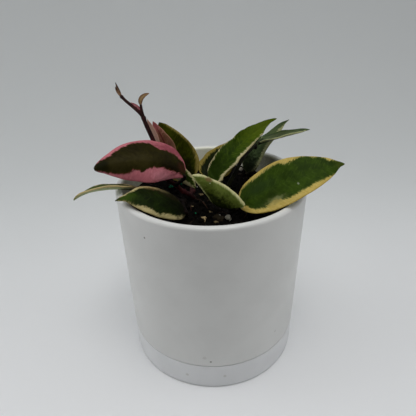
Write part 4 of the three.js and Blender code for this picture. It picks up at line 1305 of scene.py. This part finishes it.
def bladeSpot(leaf, t, s):  # s runs from -1 to 1 across the blade
    point, along = ribAt(leaf, t)
    across = Vector(leaf["face"]).cross(along).normalized()
    up = along.cross(across)
    turn = math.radians(leaf["twist"] * (t - 0.5))
    side = across * math.cos(turn) + up * math.sin(turn)
    normal = up * math.cos(turn) - across * math.sin(turn)
    half = halfWidth(leaf, t)
    uneven = noise.noise(Vector((t * leaf["unevenCells"], 4.0 if s > 0 else 9.0, leaf["seed"])))
    if s > 0:
        nick = noise.noise(Vector((t * leaf["nickCells"], leaf["seed"], 2.0)))
        uneven -= 2 * leaf["nicks"] * max(0, nick)
    half *= 1 + leaf["uneven"] * uneven * abs(s) - leaf["slimmer"]
    half += between(leaf["bulgeAbove" if s > 0 else "bulgeBelow"], t)
    half = max(half, leaf["leastHalf"])
    spread = math.sqrt(1 - leaf["fold"] ** 2)
    phase = 2 * math.pi * leaf["waves"] * t + (0 if s < 0 else leaf["wavePhase"])
    wave = leaf["wave"] * s * s * math.sin(phase)
    lift = leaf["fold"] * half * abs(s) ** leaf["foldCurve"] + wave * min(1, half / leaf["fullWave"])
    mid = s * half
    fullness = min(1, half / leaf["fullGroove"])
    lift -= leaf["groove"] * math.exp(-(mid / leaf["grooveWidth"]) ** 2) * fullness
    lift -= leaf["roll"] * abs(s) ** leaf["rollCurve"] * fullness
    length = (Vector(leaf["tip"]) - Vector(leaf["base"])).length
    quilt = math.cos(2 * math.pi * (t * length - veinShape["slant"] * abs(mid)) / veinShape["spacing"])
    lift += leaf["quilt"] * quilt * 4 * abs(s) * (1 - abs(s)) * min(1, half / leaf["fullQuilt"])
    return point + side * (mid * spread) + normal * lift, normal, half


def ribLength(leaf):
    spots = [ribAt(leaf, k / 40)[0] for k in range(41)]
    return sum((b - a).length for a, b in zip(spots, spots[1:]))


def makeBlade(leaf):
    sheet = added(
        bpy.ops.mesh.primitive_grid_add, x_subdivisions=leaf["rows"], y_subdivisions=leaf["columns"], size=2,
    )
    weights = sheet.vertex_groups.new(name="thickness")
    length = ribLength(leaf)
    places, gaps = [], []
    for vertex in sheet.data.vertices:
        share = 0.5 + 0.5 * math.sin(vertex.co.x * math.pi / 2)
        t = leaf["ends"] + (1 - 2 * leaf["ends"]) * share
        s = math.copysign(abs(vertex.co.y) ** leaf["crowding"], vertex.co.y)
        spot, _, half = bladeSpot(leaf, t, s)
        vertex.co = spot * mm
        thin = 1 + (leaf["edgeShare"] - 1) * abs(s)
        weights.add([vertex.index], thin * min(1, 0.35 + half / leaf["fullThick"]), "REPLACE")
        reach = between(leaf["above"] if s > 0 else leaf["below"], t)
        places += [t * length, s * half, abs(s) * half - reach]
        gaps.append(half * (1 - abs(s)))
    sheet.data.attributes.new("leafPlace", "FLOAT_VECTOR", "POINT").data.foreach_set("vector", places)
    sheet.data.attributes.new("edgeGap", "FLOAT", "POINT").data.foreach_set("value", gaps)
    walls = sheet.modifiers.new("thickness", "SOLIDIFY")
    walls.thickness = leaf["thickness"] * leaf["thick"] * mm
    walls.offset = 0
    walls.vertex_group = "thickness"
    walls.thickness_vertex_group = 0.05
    walls.material_offset = 1
    rounding = sheet.modifiers.new("rounding", "SUBSURF")
    rounding.levels = rounding.render_levels = 1
    giveMaterials(sheet, leaf["upperMaterial"], leaf["underMaterial"])
    applyModifiers(sheet)
    return sheet


def makeStalk(leaf):  # runs on under the rib as a fading keel
    thick = leaf["stalkRadius"]
    sunk = leaf["thickness"] * leaf["thick"] * 0.5
    knots = []
    for t, share in stalkShape["keel"]:
        spot, normal, _ = bladeSpot(leaf, t, 0)
        knots.append((spot - normal * (sunk - thick * share * stalkShape["sunk"]), thick * share))
    if not leaf["tucked"]:
        under = Vector(leaf["face"]).normalized() * stalkShape["under"]
        knots.append((Vector(leaf["base"]) - under, thick))
    for spot in leaf["stalk"]:
        swell = stalkShape["foot" if spot == leaf["stalk"][-1] else "middle"]
        knots.append((Vector(spot), thick * swell))
    tube = makeTube([spot for spot, _ in knots], [radius for _, radius in knots], 3, 6)
    giveMaterials(tube, stemMaterials[leaf["stalkLook"]])
    return tube


def makeLeaf(name, plan):
    leaf, look = {**blade, **plan}, {**plainLook, **looks[plan["look"]]}
    leaf["upperMaterial"] = makeLeafMaterial(name + "Upper", look, leaf, False)
    leaf["underMaterial"] = makeLeafMaterial(name + "Under", look, leaf, True)
    whole = makeBlade(leaf)
    if "partner" in leaf:
        whole = joinInto(whole, [makeBlade({**leaf, **leaf["partner"]})])
    if "stalk" in leaf:
        whole = joinInto(whole, [makeStalk(leaf)])
    smooth(whole)
    finishPiece(whole, name, look["slot"], leaf["node"])


for leafName, leafPlan in leaves.items():
    makeLeaf(leafName, leafPlan)
print("leaves done")


# Stage, light and camera

studio = {
    "floor": (240, 241, 242), "floorBack": (226, 229, 229), "fadeFrom": -0.05, "fadeTo": 0.4,
    "floorNear": (176, 177, 178), "nearFrom": -0.13, "nearTo": -0.3, "coarse": 3, "fine": 300,
    "cloud": 0.03, "roughness": 0.8, "specular": 0.2,
    "coveStart": 0.2, "coveRadius": 0.36, "coveSteps": 24, "wallHeight": 1.4, "reach": 3.0,
    "air": {"colour": (0.97, 0.985, 1.0, 1.0), "strength": 1.22, "darkest": -0.6, "brightest": 0.4},
    "seen": {"colour": (174, 176, 174), "strength": 1.0},
    "front": {"at": (0, -0.55, 1.2), "aim": (0, -0.55, 0), "size": 0.8, "power": 3.5},
    "top": {"at": (0.1, -0.2, 1.0), "aim": (0, 0, 0.1), "size": 0.35, "power": 1.3},
    "left": {"at": (-1.1, 0.1, 0.5), "aim": (0, 0, 0.08), "size": 0.8, "power": 1.6},
    "right": {"at": (0.9, -0.1, 0.35), "aim": (0, 0, 0.05), "size": 0.7, "power": 0.35},
}
cameraPlan = {  # angles in radians, lens and sensor in mm
    "at": (-0.0024, -0.2608, 0.2557), "pitch": 0.5110, "roll": -0.0224, "lens": 430 / 416 * 36, "sensor": 36,
}  # 430 pixels of focal length to an image of 416


def makeStage():
    reach, start, radius = studio["reach"], studio["coveStart"], studio["coveRadius"]
    floor = added(bpy.ops.mesh.primitive_plane_add, size=2)
    for vertex in floor.data.vertices:
        vertex.co = Vector((vertex.co.x * reach, start if vertex.co.y > 0 else -reach, 0))
    openForEdit(floor)
    selectWhere(floor, "edges", lambda line: all(end.co.y > 0 for end in line.verts))
    steps = studio["coveSteps"]
    for k in range(steps):
        low, high = k * math.pi / 2 / steps, (k + 1) * math.pi / 2 / steps
        move = (0, radius * (math.sin(high) - math.sin(low)), radius * (math.cos(low) - math.cos(high)))
        bpy.ops.mesh.extrude_edges_move(TRANSFORM_OT_translate={"value": move})
    rise = studio["wallHeight"] - radius
    bpy.ops.mesh.extrude_edges_move(TRANSFORM_OT_translate={"value": (0, 0, rise)})
    turnOutward()
    smooth(floor)
    material, tree, shader = newMaterial("paleCard")
    here, grain = grainHere(tree, studio)
    depth = split(tree, here)["Y"]
    clouded = calc(tree, "MULTIPLY_ADD", grain["Cloud"], studio["cloud"], depth)
    back = fade(tree, clouded, studio["fadeFrom"], studio["fadeTo"])
    near = fade(tree, depth, studio["nearFrom"], studio["nearTo"])
    far = mixColours(tree, back, studio["floor"], studio["floorBack"])
    colour = mixColours(tree, near, far, studio["floorNear"])
    setSockets(tree, shader, {
        "Base Color": colour, "Roughness": studio["roughness"], "Specular IOR Level": studio["specular"],
    })
    giveMaterials(floor, material)
    floor.name = "paleFloor"


def makeLight(name):
    plan = studio[name]
    deselectAll()
    bpy.ops.object.light_add(type="AREA", location=plan["at"])
    light = bpy.context.object
    light.name = name + "Light"
    light.data.size = plan["size"]
    light.data.energy = plan["power"]
    toward = Vector(plan["aim"]) - Vector(plan["at"])
    light.rotation_euler = toward.to_track_quat("-Z", "Y").to_euler()


def makeCamera():
    pitch, roll = cameraPlan["pitch"], cameraPlan["roll"]
    forward = Vector((0, math.cos(pitch), -math.sin(pitch)))
    right, up = Vector((1, 0, 0)), Vector((0, math.sin(pitch), math.cos(pitch)))
    across = right * math.cos(roll) + up * math.sin(roll)
    upward = up * math.cos(roll) - right * math.sin(roll)
    deselectAll()
    bpy.ops.object.camera_add(location=cameraPlan["at"])
    camera = bpy.context.object
    turn = Matrix((across, upward, -forward)).transposed().to_4x4()
    camera.matrix_world = Matrix.Translation(Vector(cameraPlan["at"])) @ turn
    camera.data.lens = cameraPlan["lens"]
    camera.data.sensor_width = cameraPlan["sensor"]
    camera.data.clip_start = 0.01
    bpy.context.scene.camera = camera


def makeSky():  # brighter behind the object than in front of it; the camera sees it even and pale
    world = bpy.data.worlds.new("studioAir")
    world.use_nodes = True
    tree, plan, seen = world.node_tree, studio["air"], studio["seen"]
    air = tree.nodes["Background"]
    toward = split(tree, addNode(tree, "TexCoord").outputs["Generated"])["Y"]
    level = addNode(tree, "MapRange", {
        "Value": toward, "From Min": plan["darkest"], "From Max": plan["brightest"],
        "To Max": plan["strength"],
    }).outputs["Result"]
    setSockets(tree, air, {"Color": plan["colour"], "Strength": level})
    even = addNode(tree, "Background", {"Color": screen(seen["colour"]), "Strength": seen["strength"]})
    facing = addNode(tree, "LightPath").outputs["Is Camera Ray"]
    mixed = addNode(tree, "MixShader", {0: facing, 1: air.outputs[0], 2: even.outputs[0]})
    setSockets(tree, tree.nodes["World Output"], {"Surface": mixed.outputs[0]})
    bpy.context.scene.world = world


makeStage()
for lightName in ("front", "top", "left", "right"):
    makeLight(lightName)
makeCamera()
makeSky()
bpy.context.scene.view_settings.view_transform = "Standard"
print("stage, light and camera done")
